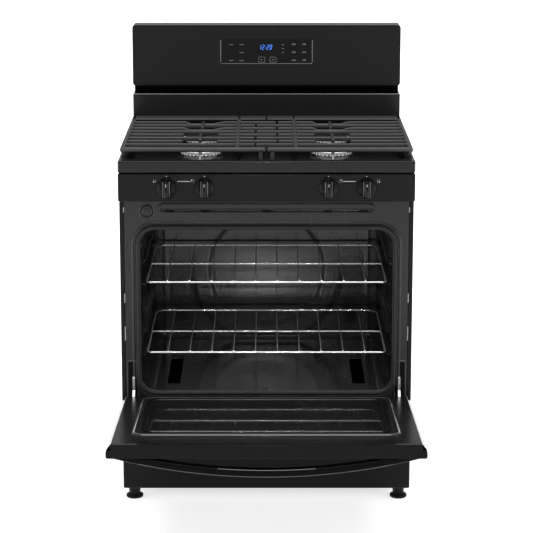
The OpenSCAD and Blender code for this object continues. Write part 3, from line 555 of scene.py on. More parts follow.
for sign, side in ((-1, "left"), (1, "right")):
    wall_points = side_wall(sign)
    if sign > 0:
        wall_points = wall_points[::-1]
    piece(f"oven_wall_{side}.pressed", [open_skin(wall_points)], cavity_enamel, "range_body",
          [f"oven_wall_{side}"], wall=sheet_t * 0.9, outward=False, crease=60)
repaint(cavity_enamel, "oven_wall_top", "oven_floor")

back_lo, back_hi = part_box("oven_wall_back")
back_y = back_hi.y - sheet_t
mid_x, mid_z = 0.0, (mouth[1] + mouth[3]) / 2 - 0.008
ring_mid, ring_half = (mouth[3] - mouth[1]) / 2 - 0.028, 0.018


def back_wall():
    """A flat sheet that moves forwards in a broad ring, and less along a crease near each side."""
    x = np.linspace(back_lo.x, back_hi.x, 220)
    z = np.linspace(back_lo.z, back_hi.z, 160)
    xx, zz = np.meshgrid(x, z)
    far = np.hypot(xx - mid_x, zz - mid_z)
    inside = bump_of(zz - (mouth[1] + mouth[3]) / 2, (mouth[3] - mouth[1]) / 2 - 0.020, 0.008)
    crease = bump_of(np.abs(xx) - 0.2880, 0.0010, 0.006)
    push = np.maximum(bump_of(far - ring_mid, ring_half, 0.016) * inside, 0.7 * crease)
    return np.stack([xx, back_y - 0.0010 * push, zz], -1)


piece("oven_wall_back.pressed", [open_skin(back_wall())], cavity_enamel, "range_body",
      ["oven_wall_back"], wall=sheet_t * 0.9, outward=False, crease=60)


# ---- insulation, gas train and control board ----
# Parts behind the panels: mineral wool, brass valves, cast aluminium regulator and tubes, a ceramic igniter
# and a circuit board. Apart from the electrodes by the burners, they show only when the range is taken apart.
def wool_look(p):
    fibre = p.stretched(1.0, 6.0, 1.0).noise(120.0, 5.0, 0.7)
    return {"Base Color": fibre.tint((0.42, 0.36, 0.24), (0.7, 0.64, 0.5)), "Roughness": fibre * 0.1 + 0.85,
            "Normal": fibre.bump(0.8, 0.002)}


def cast_look(base, light, grain, shine):
    """Cast metal: pitted grain with slow changes of shine."""
    def look(p):
        pit = p.noise(grain, 4.0, 0.6)
        return {"Base Color": p.noise(25.0, 3.0).tint(base, light), "Roughness": pit * 0.25 + shine,
                "Normal": pit.bump(0.25, 0.0008)}
    return look


wool = finish_of("mineral_wool", {}, wool_look)
aluminium = finish_of("cast_aluminium", {"Metallic": 1.0},
                      cast_look((0.62, 0.62, 0.63), (0.82, 0.82, 0.83), 900.0, 0.22))
brass = finish_of("brass", {"Metallic": 1.0}, cast_look((0.6, 0.44, 0.18), (0.72, 0.56, 0.28), 500.0, 0.2))
ceramic = finish_of("white_ceramic", {"Coat Weight": 0.3},
                    cast_look((0.72, 0.7, 0.64), (0.82, 0.8, 0.76), 300.0, 0.25))
board = finish_of("circuit_board", {}, cast_look((0.02, 0.1, 0.04), (0.03, 0.16, 0.06), 200.0, 0.4))
repaint(wool, "oven_insulation", "door_insulation")
repaint(brass, "burner_valves")
repaint(aluminium, "burner_supply_tubes", "gas_regulator")
repaint(ceramic, "oven_igniter", "spark_electrodes")
repaint(board, "control_board")


# ---- control panel ----
# A folded steel panel in gloss black enamel, with rounded edges, clipped under the cooktop.
# Pale printed marks between the knobs show which burner each one feeds.
def tray(rect, front, back, r, steps=6):
    """A tray: its outline runs forwards, rounds inwards by r - r cos a at the front, and is capped."""
    a = np.linspace(0, math.pi / 2, steps)
    flat = 0.0008
    loops = [grown(rect, 0.0)] * 2 + [grown(rect, -(r - r * math.cos(t))) for t in a] + [grown(rect, -r - flat)]
    depths = [back, front + r + flat] + [front + r - r * math.sin(t) for t in a] + [front]
    return upright(loops, depths)


def open_back(points):
    """A tray's vertices and faces without the cap at its back."""
    points, faces = skin(points)
    return points, faces[:-2] + faces[-1:]


def enamelled_box(node, corner, edge, finish, body="range_body"):
    """A node's box as a tray of enamelled sheet, with round corners and a round front edge."""
    lo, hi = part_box(node)
    piece(f"{node}.enamelled", [open_back(tray((lo.x, lo.z, hi.x, hi.z, corner), lo.y, hi.y, edge))],
          finish, body, [node], wall=0.0015, outward=False)


panel_lo, panel_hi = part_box("control_panel")
enamelled_box("control_panel", 0.004, 0.0035, black_enamel)


def print_look(p):
    return {"Base Color": p.noise(800.0).tint((0.42, 0.42, 0.42), (0.55, 0.55, 0.55)),
            "Roughness": p.noise(50.0) * 0.1 + 0.45}


printed = finish_of("pale_print", {}, print_look)
sunk, proud_by = 0.00005, 0.00015


def mark(x0, z0, x1, z1, y, r=0.0003):
    """A printed mark: a thin plate with round corners, just proud of the surface at depth y."""
    return plate((x0, z0, x1, z1, min(r, (x1 - x0) / 2.01, (z1 - z0) / 2.01)), y + sunk, y - proud_by, 3)


def mark_disc(x, z, r, y):
    """A printed dot."""
    return skin(facing([(r, y + sunk), (r, y - proud_by)], (x, z), 16))


knob_boxes = [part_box(f"burner_knob_{i}") for i in (1, 2, 3, 4)]
knob_xs = [(lo.x + hi.x) / 2 for lo, hi in knob_boxes]
knob_z = (knob_boxes[0][0].z + knob_boxes[0][1].z) / 2
inner, outer = sorted(abs(x) for x in knob_xs[2:])
legend_z = knob_z + 0.0168
dash_half_h, dash_start, dash_end = 0.0007, 0.0355, 0.0690
dot_step, small_dot, large_dot, dots_off = 0.0024, 0.0008, 0.0016, 0.0300
marks = []
for sign in (-1, 1):
    dash = sorted((sign * (inner + dash_start), sign * (inner + dash_end)))
    marks.append(mark(dash[0], legend_z - dash_half_h, dash[1], legend_z + dash_half_h, panel_lo.y))
    for centre, filled in ((sign * (inner + dots_off), 1), (sign * (outer + dots_off), -1)):
        for dx in (-1, 1):
            for dz in (-1, 1):
                dot_r = large_dot if (dx == sign and dz == filled) else small_dot
                marks.append(mark_disc(centre + dx * dot_step, legend_z + 0.001 + dz * dot_step, dot_r,
                                       panel_lo.y))
marks += [mark_disc(x, panel_hi.z - 0.0064, 0.0013, panel_lo.y) for x in knob_xs]
piece("control_panel.marks", marks, printed, "range_body")


# ---- knobs ----
# Moulded black knobs: a round skirt and an upright grip with flat sides, pushed on to the valve's D-shaped
# stem. A pale line on the grip's end points to the printed marks.
knob_plastic = finish_of("knob_plastic", {"Specular IOR Level": 0.2},
                         moulded_look((0.0015, 0.0015, 0.0016), 0.03, 1800.0))
skirt_plastic = finish_of("knob_skirt_plastic", {"Specular IOR Level": 0.12},
                          moulded_look((0.0035, 0.0035, 0.0037), 0.25, 1800.0))


def rounded_block(lo, hi, r, steps=4):
    """A block with round edges: each direction n of a sphere gives centre + sign(n) (half - r) + r n."""
    lo, hi = np.array(lo, float), np.array(hi, float)
    r = min(r, *(0.499 * (hi - lo)))
    quarter = np.linspace(0, math.pi / 2, steps)
    a = np.concatenate([quarter + k * math.pi / 2 for k in range(4)])
    sa = np.repeat([[1, 1], [-1, 1], [-1, -1], [1, -1]], steps, 0)
    b = np.concatenate([quarter - math.pi / 2, quarter])
    sb = np.repeat([-1, 1], steps)
    n = np.stack([np.cos(b)[:, None] * np.cos(a), np.cos(b)[:, None] * np.sin(a),
                  np.repeat(np.sin(b)[:, None], len(a), 1)], -1)
    sign = np.stack([np.repeat(sa[None, :, 0], len(b), 0), np.repeat(sa[None, :, 1], len(b), 0),
                     np.repeat(sb[:, None], len(a), 1)], -1)
    return (lo + hi) / 2 + sign * ((hi - lo) / 2 - r) + r * n


# Each step: how far along the grip from its back, then its half width and its half height there.
grip_steps = [(0.0, 0.0140, 0.0235), (0.38, 0.0126, 0.0235), (0.54, 0.0112, 0.0234), (0.60, 0.0098, 0.0233),
              (0.635, 0.0084, 0.0232), (0.67, 0.0070, 0.0230), (0.71, 0.0062, 0.0228), (0.90, 0.0057, 0.0218),
              (0.96, 0.0050, 0.0212), (1.0, 0.0034, 0.0200)]
for i, (lo, hi) in enumerate(knob_boxes, 1):
    x, r = (lo.x + hi.x) / 2, (hi.x - lo.x) / 2
    back, front = hi.y, lo.y
    skirt = [(0.0001, back), (r - 0.0006, back), (r, back - 0.0006), (r, back - 0.0022),
             (r - 0.0008, back - 0.0036), (r - 0.0026, back - 0.0056), (r - 0.0054, back - 0.0070),
             (r - 0.0090, back - 0.0078), (0.0001, back - 0.0084)]
    grip_loops = [outline(x - half_w, knob_z - half_h, x + half_w, knob_z + half_h, min(half_w, 0.006) * 0.9, 6)
                  for _, half_w, half_h in grip_steps]
    grip_depths = [back - 0.002 + (front - back + 0.002) * along for along, _, _ in grip_steps]
    pointer = mark(x - 0.0006, knob_z + 0.0080, x + 0.0006, knob_z + 0.0155, front, 0.0005)
    piece(f"burner_knob_{i}.skirt", [skin(facing(skirt, (x, knob_z), 72))],
          skirt_plastic, f"knob_{i}", [f"burner_knob_{i}"])
    piece(f"burner_knob_{i}.grip", [skin(upright(grip_loops, grip_depths))],
          knob_plastic, f"knob_{i}", crease=50)
    piece(f"burner_knob_{i}.pointer", [pointer], printed, f"knob_{i}")


# ---- cooktop ----
# One deep-drawn steel sheet in gloss black enamel: a rolled rim, a recessed well with round corners,
# and a low raised ring round each burner. The burners stand in it and the grates rest on its rim.
pan_lo, pan_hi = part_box("cooktop_pan")
pan_rect = (pan_lo.x, pan_lo.y, pan_hi.x, pan_hi.y, 0.007)
pan_bottom, rim_z, well_z = 0.885, pan_hi.z, pan_hi.z - 0.033
well_rect = (pan_lo.x + 0.022, pan_lo.y + 0.030, pan_hi.x - 0.022, pan_hi.y - 0.020, 0.024)
cook_enamel = finish_of("cooktop_enamel", {"Specular IOR Level": 0.2},
                        ripple_look((0.0045, 0.0045, 0.0047), 0.09, 0.05))
rim_r, lip_r, bottom_r = 0.004, 0.005, 0.008
quarter_turn = np.linspace(0, math.pi / 2, 7)
pan_loops = [grown(pan_rect, 0.0)] * 3 + [grown(pan_rect, -rim_r * (1 - math.cos(t))) for t in quarter_turn]
pan_heights = [pan_bottom, pan_bottom + 0.001, rim_z - 0.005]
pan_heights += [rim_z - rim_r * (1 - math.sin(t)) for t in quarter_turn]
pan_loops += [grown(pan_rect, -0.005), grown(well_rect, 0.006)]
pan_heights += [rim_z, rim_z]
pan_loops += [grown(well_rect, lip_r * (1 - math.sin(t))) for t in quarter_turn]
pan_heights += [rim_z - lip_r * (1 - math.cos(t)) for t in quarter_turn]
pan_loops += [grown(well_rect, -0.002 - bottom_r * (1 - math.cos(t))) for t in quarter_turn]
pan_heights += [well_z + bottom_r * (1 - math.sin(t)) for t in quarter_turn]
pan_loops.append(grown(well_rect, -0.0115))
pan_heights.append(well_z)
heads_lo, heads_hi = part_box("burner_heads")
head_r = 0.053
burner_spots = [(x, y) for x in (heads_lo.x + head_r, heads_hi.x - head_r)
                for y in (heads_lo.y + head_r, heads_hi.y - head_r)]
dish_profile = [(0.070, well_z - 0.0004), (0.068, well_z + 0.0008), (0.064, well_z + 0.0024),
                (0.060, well_z + 0.0026), (0.056, well_z + 0.0018), (0.050, well_z + 0.0006),
                (0.030, well_z + 0.0004)]
piece("cooktop_pan.drawn", [open_back(level(pan_loops, pan_heights))],
      cook_enamel, "range_body", ["cooktop_pan"], wall=0.0013, outward=False)
piece("cooktop_pan.burner_rings",
      [skin(turned(dish_profile, (x, y, 0), 72), caps=False) for x, y in burner_spots],
      cook_enamel, "range_body", wall=0.0008)


# ---- burners ----
# Cast aluminium heads with a serrated ring of flame slots, a notch at the front for the spark electrode,
# and a loose cast iron cap in matt black enamel on top.
head_z = well_z + 0.022
head_profile = [(0.0160, -0.019), (0.0160, 0.0), (0.0425, 0.0), (0.0440, 0.0012), (0.0440, 0.0100),
                (0.0452, 0.0116), (0.0505, 0.0122), (0.0524, 0.0130), (0.0530, 0.0142), (0.0530, 0.0208),
                (0.0518, 0.0220), (0.0300, 0.0220)]


def serration(a, z):
    """Thirty slots cut in the ring, and one wide notch at the front."""
    slot_cut = 0.075 * (np.cos(30 * a) > 0.35) * (z > 0.0138)
    notch = 0.24 * (np.abs(a - 1.5 * math.pi) < 0.085) * (z > 0.0005)
    return 1 - slot_cut - notch


head_finish = finish_of("burner_aluminium", {"Metallic": 0.55},
                        cast_look((0.7, 0.7, 0.71), (0.88, 0.88, 0.89), 1200.0, 0.28))
piece("burner_heads.cast",
      [skin(turned(head_profile, (x, y, well_z), 360, serration)) for x, y in burner_spots],
      head_finish, "range_body", ["burner_heads"], crease=25)
cap_finish = finish_of("cap_enamel", {"Specular IOR Level": 0.4},
                       cast_look((0.010, 0.010, 0.0105), (0.016, 0.016, 0.0165), 700.0, 0.3))
cap_profile = [(0.0001, 0.0), (0.0455, 0.0), (0.0472, 0.0006), (0.0479, 0.0018), (0.0478, 0.0046),
               (0.0468, 0.0066), (0.0450, 0.0079), (0.0415, 0.0088), (0.0360, 0.0093), (0.0250, 0.0098),
               (0.0001, 0.0100)]
piece("burner_caps.cast", [skin(turned(cap_profile, (x, y, head_z), 96)) for x, y in burner_spots],
      cap_finish, "range_body", ["burner_caps"])


# ---- grates ----
# Two cast iron grates in satin black enamel, each one casting: an outer frame, an inner rib and eight cross
# bars with rounded tops. Bars over a burner are stepped down or cut away, and a raised bar over each burner
# holds a small pan.
grate_iron = finish_of("grate_enamel", {"Specular IOR Level": 0.5},
                       cast_look((0.030, 0.030, 0.0305), (0.044, 0.044, 0.0445), 650.0, 0.32))


def bar(start, end, width, height, r, sag=None):
    """A cast bar: a rounded section carried from start to end, drawn in at both ends by a quarter circle.

    sag lowers it along its length."""
    start, end = np.array(start, float), np.array(end, float)
    length = np.linalg.norm(end - start)
    ahead = (end - start) / length
    side = np.cross([0, 0, 1], ahead)
    turn = np.linspace(0, math.pi / 2, 4)
    near, drawn_in = r * (1 - np.cos(turn)), r * (1 - np.sin(turn))
    between = np.linspace(near[-1], length - near[-1], 26 if sag else 2)[1:-1]
    s = np.concatenate([near, between, length - near[::-1]])
    inset = np.concatenate([drawn_in, np.zeros(len(between)), drawn_in[::-1]])
    rows = []
    for k, d in zip(s, inset):
        loop = outline(-width / 2 + d, -height / 2 + d, width / 2 - d, height / 2 - d, max(r - d, 1e-4), 4)
        rows.append(start + ahead * k + loop[:, :1] * side + loop[:, 1:] * np.array([0, 0, 1.0]))
    points = np.array(rows)
    if sag:
        points[..., 2] -= sag(s)[:, None]
    return skin(points)


grate_lo, grate_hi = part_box("grate_left")
top_z, bar_h, bar_w, bar_r = grate_hi.z - 0.002, 0.012, 0.008, 0.0028
mid_bar = top_z - bar_h / 2
grate_x, grate_front, grate_back = grate_lo.x, grate_lo.y, grate_hi.y
frame_w, frame_r, back_w, rib_x, rib_w, rib_r = 0.013, 0.0035, 0.0104, -0.076, 0.010, 0.003
centre_x, pad_depth = -0.0015, 0.061
bar_count, bar_start = 8, grate_x + 0.010
bar_first = grate_back - pad_depth - 0.044
bar_last = grate_front + 0.067
bar_step = (bar_first - bar_last) / (bar_count - 1)
stud_profile = [(0.0062, -0.004), (0.0062, 0.0008), (0.0056, 0.0017), (0.0040, 0.0020), (0.0001, 0.0020)]
long_tip, short_tip = 0.027, -0.031
burner_x, burner_gap, finger_half = abs(burner_spots[0][0]), 0.046, 0.044


def across(x0, x1, y, *section):
    """A bar from side to side."""
    return bar((x0, y, mid_bar), (x1, y, mid_bar), *section)


def lengthwise(x, y0, y1, *section, raised=0.0):
    """A bar from front to back."""
    return bar((x, y0, mid_bar + raised), (x, y1, mid_bar + raised), *section)


def dip(s):
    """How far a bar over a burner is stepped down, at a distance s from its start."""
    return 0.006 * bump_of(bar_start + s + burner_x, 0.038, 0.010)


def grate_skins(reach_odd):
    """The left grate's bars; reach_odd says which of them cross the middle."""
    made = [across(grate_x, centre_x, grate_front + 0.0065, frame_w, bar_h, frame_r),
            across(grate_x, centre_x, grate_back - 0.0052, back_w, bar_h, rib_r),
            lengthwise(grate_x + 0.0065, grate_front + 0.003, grate_back - 0.003, frame_w, bar_h, frame_r),
            lengthwise(rib_x, grate_front + 0.004, grate_back - 0.004, rib_w, bar_h, rib_r),
            skin(rounded_block((grate_x + 0.001, grate_back - pad_depth, top_z - 0.005),
                               (-0.0016, grate_back - 0.001, top_z), 0.0022))]
    for i in range(bar_count):
        y, odd = bar_first - i * bar_step, i % 2 == 0
        tip = long_tip if odd == reach_odd else short_tip
        if odd and i < 3:
            made.append(across(bar_start, tip, y, bar_w, bar_h, bar_r, dip))
        elif odd:
            made.append(across(bar_start, -burner_x - burner_gap, y, bar_w, bar_h, bar_r))
            made.append(across(-burner_x + burner_gap, tip, y, bar_w, bar_h, bar_r))
        else:
            made.append(across(bar_start, tip, y, bar_w, bar_h, bar_r))
        made.append(skin(turned(stud_profile, (rib_x, y, top_z), 20)))
    for _, y in burner_spots[:2]:
        made.append(lengthwise(-burner_x, y - finger_half, y + finger_half, bar_w, bar_h, rib_r, raised=0.002))
    for x in (grate_x + 0.003, -0.020):
        for y in (grate_back - 0.008, grate_front + 0.003):
            foot = rim_z if (x < bar_start or y > grate_front + 0.009) else well_z
            made.append(skin(rounded_block((x, y, foot), (x + 0.010, y + 0.008, mid_bar), 0.002)))
    return made


piece("grate_left.cast", grate_skins(True), grate_iron, "left_grate", ["grate_left"])
right_skins = [(p * np.array([-1, 1, 1]), f) for p, f in grate_skins(False)]
piece("grate_right.cast", right_skins, grate_iron, "right_grate", ["grate_right"])


# ---- backguard ----
# A black enamelled riser, an open slot that lets the oven's warm air out past a row of fins, and above it
# the console, a deep steel box with rounded top corners.
riser_lo, riser_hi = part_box("backguard_riser")
# The riser's enamel is a lighter copy of the console's black enamel: painted light, lifting the riser where the
# console above shades it.
riser_lifted_enamel = finish_of("riser_lifted_enamel", {"Specular IOR Level": 0.1},
                         ripple_look((0.0115, 0.0115, 0.0118), 0.12, 0.06))
enamelled_box("backguard_riser", 0.003, 0.0025, riser_lifted_enamel)
enamelled_box("backguard_console", 0.009, 0.0035, black_enamel)
# The fins in the slot are painted near-black: painted shade for the dark slot under the console.
slot_painted_shade = finish_of("slot_shade_enamel", {"Specular IOR Level": 0.03},
                       ripple_look((0.0012, 0.0012, 0.0012), 0.6, 0.1))
repaint(slot_painted_shade, "vent_louvre")
# A thin pale grey ledge along the riser's top front edge: a painted highlight for the light line there.
ledge_painted_highlight = finish_of("ledge_painted_highlight", {"Specular IOR Level": 0.5},
                         ripple_look((0.20, 0.20, 0.20), 0.3, 0.1))
ledge_in, ledge_w, ledge_h, ledge_r = 0.003, 0.003, 0.0018, 0.0008
ledge_y, ledge_z = riser_lo.y + 0.0015, riser_hi.z - 0.0008
piece("backguard_riser.ledge", [bar((riser_lo.x + ledge_in, ledge_y, ledge_z),
                                    (riser_hi.x - ledge_in, ledge_y, ledge_z), ledge_w, ledge_h, ledge_r)],
      ledge_painted_highlight, "range_body")


# ---- display ----
# A black glass window in a thin pale rim, set into the console, with a blue clock and printed touch marks.
# The marks are plain dashes, pads and digits.
def glass_look(base, shine):
    def look(p):
        smear = p.noise(18.0, 4.0)
        return {"Base Color": smear.tint(base, tuple(1.3 * b for b in base)),
                "Roughness": smear * 0.03 + shine,
                "Normal": p.noise(7.0, 1.0).bump(0.004, 0.002)}
    return look


window_glass = finish_of("display_glass", {"Specular IOR Level": 0.08},
                         glass_look((0.0022, 0.0022, 0.0024), 0.03))
rim_plastic = finish_of("display_rim", {"Specular IOR Level": 0.5},
                        moulded_look((0.13, 0.13, 0.13), 0.35, 1500.0))
win_lo, win_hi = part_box("display_window")
win_rect = (win_lo.x, win_lo.z, win_hi.x, win_hi.z, 0.003)
console_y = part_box("backguard_console")[0].y
rim_w, rim_back = 0.0020, console_y + 0.0002
rim_sides = [rounded_block((x, win_lo.y, win_lo.z + 0.004), (x + rim_w, rim_back, win_hi.z - 0.003), 0.0006)
             for x in (win_lo.x, win_hi.x - rim_w)]
rim_bottom = rounded_block((win_lo.x + rim_w, win_lo.y, win_lo.z),
                           (win_hi.x - rim_w, rim_back, win_lo.z + 0.0014), 0.0005)
glass_y = win_lo.y + 0.0003
piece("display_window.rim", [skin(block) for block in rim_sides + [rim_bottom]],
      rim_plastic, "range_body")
win_in = tuple(v + g for v, g in zip(win_rect, (0.0030, 0.0028, -0.0030, 0.0, -0.0008)))
piece("display_window.glass", [skin(upright([grown(win_in, 0.0)] * 2, [glass_y, console_y + 0.0015]))],
      window_glass, "range_body", ["display_window"])


def digit_look(p):
    return {"Base Color": p.noise(500.0).tint((0.02, 0.12, 0.8), (0.03, 0.16, 0.9)),
            "Roughness": p.noise(40.0) * 0.1 + 0.3,
            "Emission Color": p.noise(500.0).tint((0.07, 0.28, 0.85), (0.09, 0.33, 0.95))}


lit = finish_of("clock_light", {"Emission Strength": 0.9}, digit_look)
segments = {"1": "bc", "2": "abged", "0": "abcdef"}
bars = {"a": (0, 2, 1, 2), "b": (1, 1, 1, 2), "c": (1, 0, 1, 1), "d": (0, 0, 1, 0), "e": (0, 0, 0, 1),
        "f": (0, 1, 0, 2), "g": (0, 1, 1, 1)}
clock_z, digit_w, digit_h = win_hi.z - 0.029, 0.0046, 0.0062
half_stroke, end_gap, slant = 0.00065, 0.0004, 0.14
clock = []
for digit, left in (("1", -0.0215), ("2", -0.0125), ("2", 0.0005), ("0", 0.0092)):
    for segment in segments[digit]:
        x0, z0, x1, z1 = bars[segment]
        grow_x, grow_z = (half_stroke if x0 == x1 else -end_gap), (half_stroke if z0 == z1 else -end_gap)
        clock.append(mark(left + x0 * digit_w - grow_x, clock_z + z0 * digit_h - grow_z,
                          left + x1 * digit_w + grow_x, clock_z + z1 * digit_h + grow_z, glass_y))
colon_x, colon_r = -0.0040, 0.0007
for dz in (0.0035, 0.0085):
    clock.append(mark_disc(colon_x, clock_z + dz, colon_r, glass_y))
for points, _ in clock:
    points[:, 0] += slant * (points[:, 2] - clock_z)
piece("display_window.clock", clock, lit, "range_body")
keys = []
win_z = (win_lo.z + win_hi.z) / 2
three_rows = (0.0195, -0.0030, -0.0255)
for column, rows in ((-0.099, three_rows[::2]), (-0.070, three_rows), (0.046, (0.0195, 0.0085, -0.0030)),
                     (0.0765, three_rows), (0.106, three_rows)):
    for dz in rows:
        half, z = 0.0062 if abs(column) > 0.05 else 0.0030, win_z + dz
        keys.append(mark(column - half, z - 0.0008, column + half, z + 0.0008, glass_y))
        if column > 0.07:
            keys.append(mark(column - half * 0.6, z + 0.0022, column + half * 0.6, z + 0.0034, glass_y))
pad_half, pad_line = 0.0095, 0.0011
for x in (-0.0135, 0.0185):
    pad = (x - pad_half, win_z - 0.0310, x + pad_half, win_z - 0.0150, 0.004)
    under, over = glass_y + sunk, glass_y - proud_by
    keys.append(skin(edged(pad, [(0.0, under), (0.0, over), (-pad_line, over), (-pad_line, under)]),
                     close=True))
    keys.append(mark(x - 0.0035, win_z - 0.0240, x + 0.0035, win_z - 0.0222, glass_y))


def dim_look(p):
    return {"Base Color": p.noise(800.0).tint((0.13, 0.13, 0.13), (0.19, 0.19, 0.19)),
            "Roughness": p.noise(50.0) * 0.1 + 0.45}


piece("display_window.marks", keys, finish_of("dim_print", {}, dim_look), "range_body")


# ---- racks ----
# Chromed steel wire, welded: one wire bent round both sides and the back, two cross wires, and ten lengthwise
# wires laid over them, their ends cut just past the front wire.
def chrome_look(p):
    haze = p.noise(60.0, 4.0)
    return {"Base Color": haze.tint((0.72, 0.72, 0.73), (0.86, 0.86, 0.87)), "Roughness": haze * 0.12 + 0.1,
            "Normal": p.noise(300.0).bump(0.03, 0.0005)}


chrome = finish_of("chrome_wire", {"Metallic": 0.8}, chrome_look)


def wire(path, r, around=10):
    """A round section carried along a path, its axes turned as the path turns, drawn in at both ends."""
    path = np.array(path, float)
    ahead = np.gradient(path, axis=0)
    ahead /= np.linalg.norm(ahead, axis=1)[:, None]
    up = np.tile([0.0, 0.0, 1.0], (len(path), 1))
    side = np.cross(ahead, up)
    side /= np.linalg.norm(side, axis=1)[:, None]
    over = np.cross(side, ahead)
    path = np.concatenate([path[:1] - ahead[:1] * r * 0.35, path[:1], path, path[-1:],
                           path[-1:] + ahead[-1:] * r * 0.35])
    side = np.concatenate([side[:1]] * 2 + [side] + [side[-1:]] * 2)
    over = np.concatenate([over[:1]] * 2 + [over] + [over[-1:]] * 2)
    size = np.full(len(path), r)
    size[0] = size[-1] = r * 0.55
    a = np.linspace(0, 2 * math.pi, around, endpoint=False)[None, :, None]
    section = np.cos(a) * side[:, None] + np.sin(a) * over[:, None]
    return skin(path[:, None] + size[:, None, None] * section)


side_r, thin_r, cross_r, corner, nose, wire_count = 0.003, 0.0017, 0.0028, 0.034, 0.012, 10
bend = np.linspace(0, math.pi / 2, 9)
for shelf in ("upper", "lower"):
    lo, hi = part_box(f"oven_rack_{shelf}")
    wire_z, thin_z = lo.z + side_r, lo.z + 2 * side_r + thin_r - 0.0006
    half, back, front = hi.x - side_r, hi.y - side_r, lo.y
    rail = [(-half + nose - nose * math.sin(t), front + 0.003 + nose - nose * math.cos(t), wire_z)
            for t in bend]
    rail += [(-half, front + 0.020, wire_z), (-half, back - corner - 0.002, wire_z)]
    rail += [(-half + corner - corner * math.cos(t), back - corner + corner * math.sin(t), wire_z)
             for t in bend]
    rail += [(half - corner + corner * math.sin(t), back - corner + corner * math.cos(t), wire_z)
             for t in bend]
    rail += [(half, back - corner - 0.002, wire_z), (half, front + 0.020, wire_z)]
    rail += [(half - nose + nose * math.cos(t), front + 0.003 + nose - nose * math.sin(t), wire_z)
             for t in bend]
    wires = [wire(rail, side_r, 14)]
    for y, end in ((front + 0.003, half - nose + 0.001), ((front + 0.028 + back) / 2 - 0.022, half)):
        wires.append(wire([(-end, y, wire_z), (end, y, wire_z)], cross_r, 12))
    gap = 2 * hi.x / (wire_count + 1)
    for k in range(wire_count):
        x = (k - (wire_count - 1) / 2) * gap
        wires.append(wire([(x, front + 0.0008, thin_z), (x, back + 0.002, thin_z)], thin_r))
    piece(f"oven_rack_{shelf}.wires", wires, chrome, f"{shelf}_rack", [f"oven_rack_{shelf}"])


# ---- oven door ----
# A steel box: an enamelled outer panel with a glass window, an inner liner with a raised middle round the
# inner glass, pale coated sides, a moulded black top trim and a bowed handle. It is worked out shut, and then
# turned about its hinge pins.
hinge = next(j for j in frame["joints"] if j["name"] == "door_hinge")
pin = np.array(hinge["pos_m"])
swing = math.radians(hinge["range_deg"][1])


def swung(points, angle=swing):
    """Turns points of the shut door about the hinge pin: y and z turn by the angle round the pin's axis."""
    p = np.asarray(points, float) - pin
    c, s = math.cos(angle), math.sin(angle)
    return np.stack([p[..., 0], c * p[..., 1] - s * p[..., 2], s * p[..., 1] + c * p[..., 2]], -1) + pin


def shut_box(name):
    """A door node's box when the door is shut."""
    mesh = frame["nodes"][name].data
    co = np.empty(len(mesh.vertices) * 3, np.float32)
    mesh.vertices.foreach_get("co", co)
    shut = swung(co.reshape(-1, 3), -swing)
    return shut.min(0), shut.max(0)


liner_lo, liner_hi = shut_box("door_liner")
trim_lo, trim_hi = shut_box("door_top_trim")
glass_lo, glass_hi = shut_box("door_inner_glass")
raise_h = 0.005
liner_y = liner_hi[1] - raise_h
liner_rect = (liner_lo[0], liner_lo[2], liner_hi[0], liner_hi[2], 0.003)
raised = (-0.3215, mouth[1] + 0.006, 0.3215, mouth[3] - 0.006, 0.030)
glazed = (glass_lo[0] + 0.011, glass_lo[2] + 0.011, glass_hi[0] - 0.011, glass_hi[2] - 0.011, 0.020)
rise = np.linspace(0, 1, 8)
liner_enamel = finish_of("liner_enamel", {"Specular IOR Level": 0.5},
                         porcelain_look((0.0055, 0.0054, 0.0051), (0.014, 0.014, 0.0137), 0.03, 0.008))
liner_loops = [grown(liner_rect, -0.0006), grown(liner_rect, 0.0), grown(liner_rect, -0.0012),
               grown(liner_rect, -0.0020), grown(raised, 0.0050)]
liner_depths = [liner_y - 0.0016, liner_y - 0.0010, liner_y, liner_y, liner_y]
liner_loops += [grown(raised, 0.004 - 0.008 * t) for t in rise]
liner_depths += [liner_y + raise_h * (t * t * (3 - 2 * t)) for t in rise]
liner_loops += [grown(glazed, 0.0022 - 0.0022 * math.sin(t)) for t in quarter_turn]
liner_depths += [liner_y + raise_h - 0.0016 * (1 - math.cos(t)) for t in quarter_turn]
border_enamel = finish_of("liner_border_enamel", {"Specular IOR Level": 0.12},
                          porcelain_look((0.005, 0.005, 0.005), (0.018, 0.018, 0.018), 0.2))
for part, first, last, finish, covers in (("border", 0, 8, border_enamel, ["door_liner"]),
                                          ("raised", 7, None, liner_enamel, [])):
    points, faces = skin(upright(liner_loops[first:last], liner_depths[first:last]), caps=False)
    piece(f"door_liner.{part}", [(swung(points), faces)], finish, "oven_door", covers,
          wall=-0.0013, outward=False, crease=50)
# The edge of the raised middle takes the beads' pale finish: a painted highlight line.
rim_line = ((0.0006, 0.0030), (0.0, 0.0042), (-0.0008, 0.0050), (-0.0016, 0.0052), (-0.0022, 0.0048))
points, faces = skin(edged(raised, [(g - 0.0015, liner_y + height) for g, height in rim_line]), caps=False)
piece("door_liner.edge", [(swung(points), faces)], bead_painted_highlight, "oven_door")
door_glass = finish_of("door_glass", {"Specular IOR Level": 0.5},
                       glass_look((0.0065, 0.0064, 0.0062), 0.015))
repaint(door_glass, "door_inner_glass", "door_outer_glass")

outer_lo, outer_hi = shut_box("door_outer_panel")
bevel_y = outer_lo[1] + 0.018


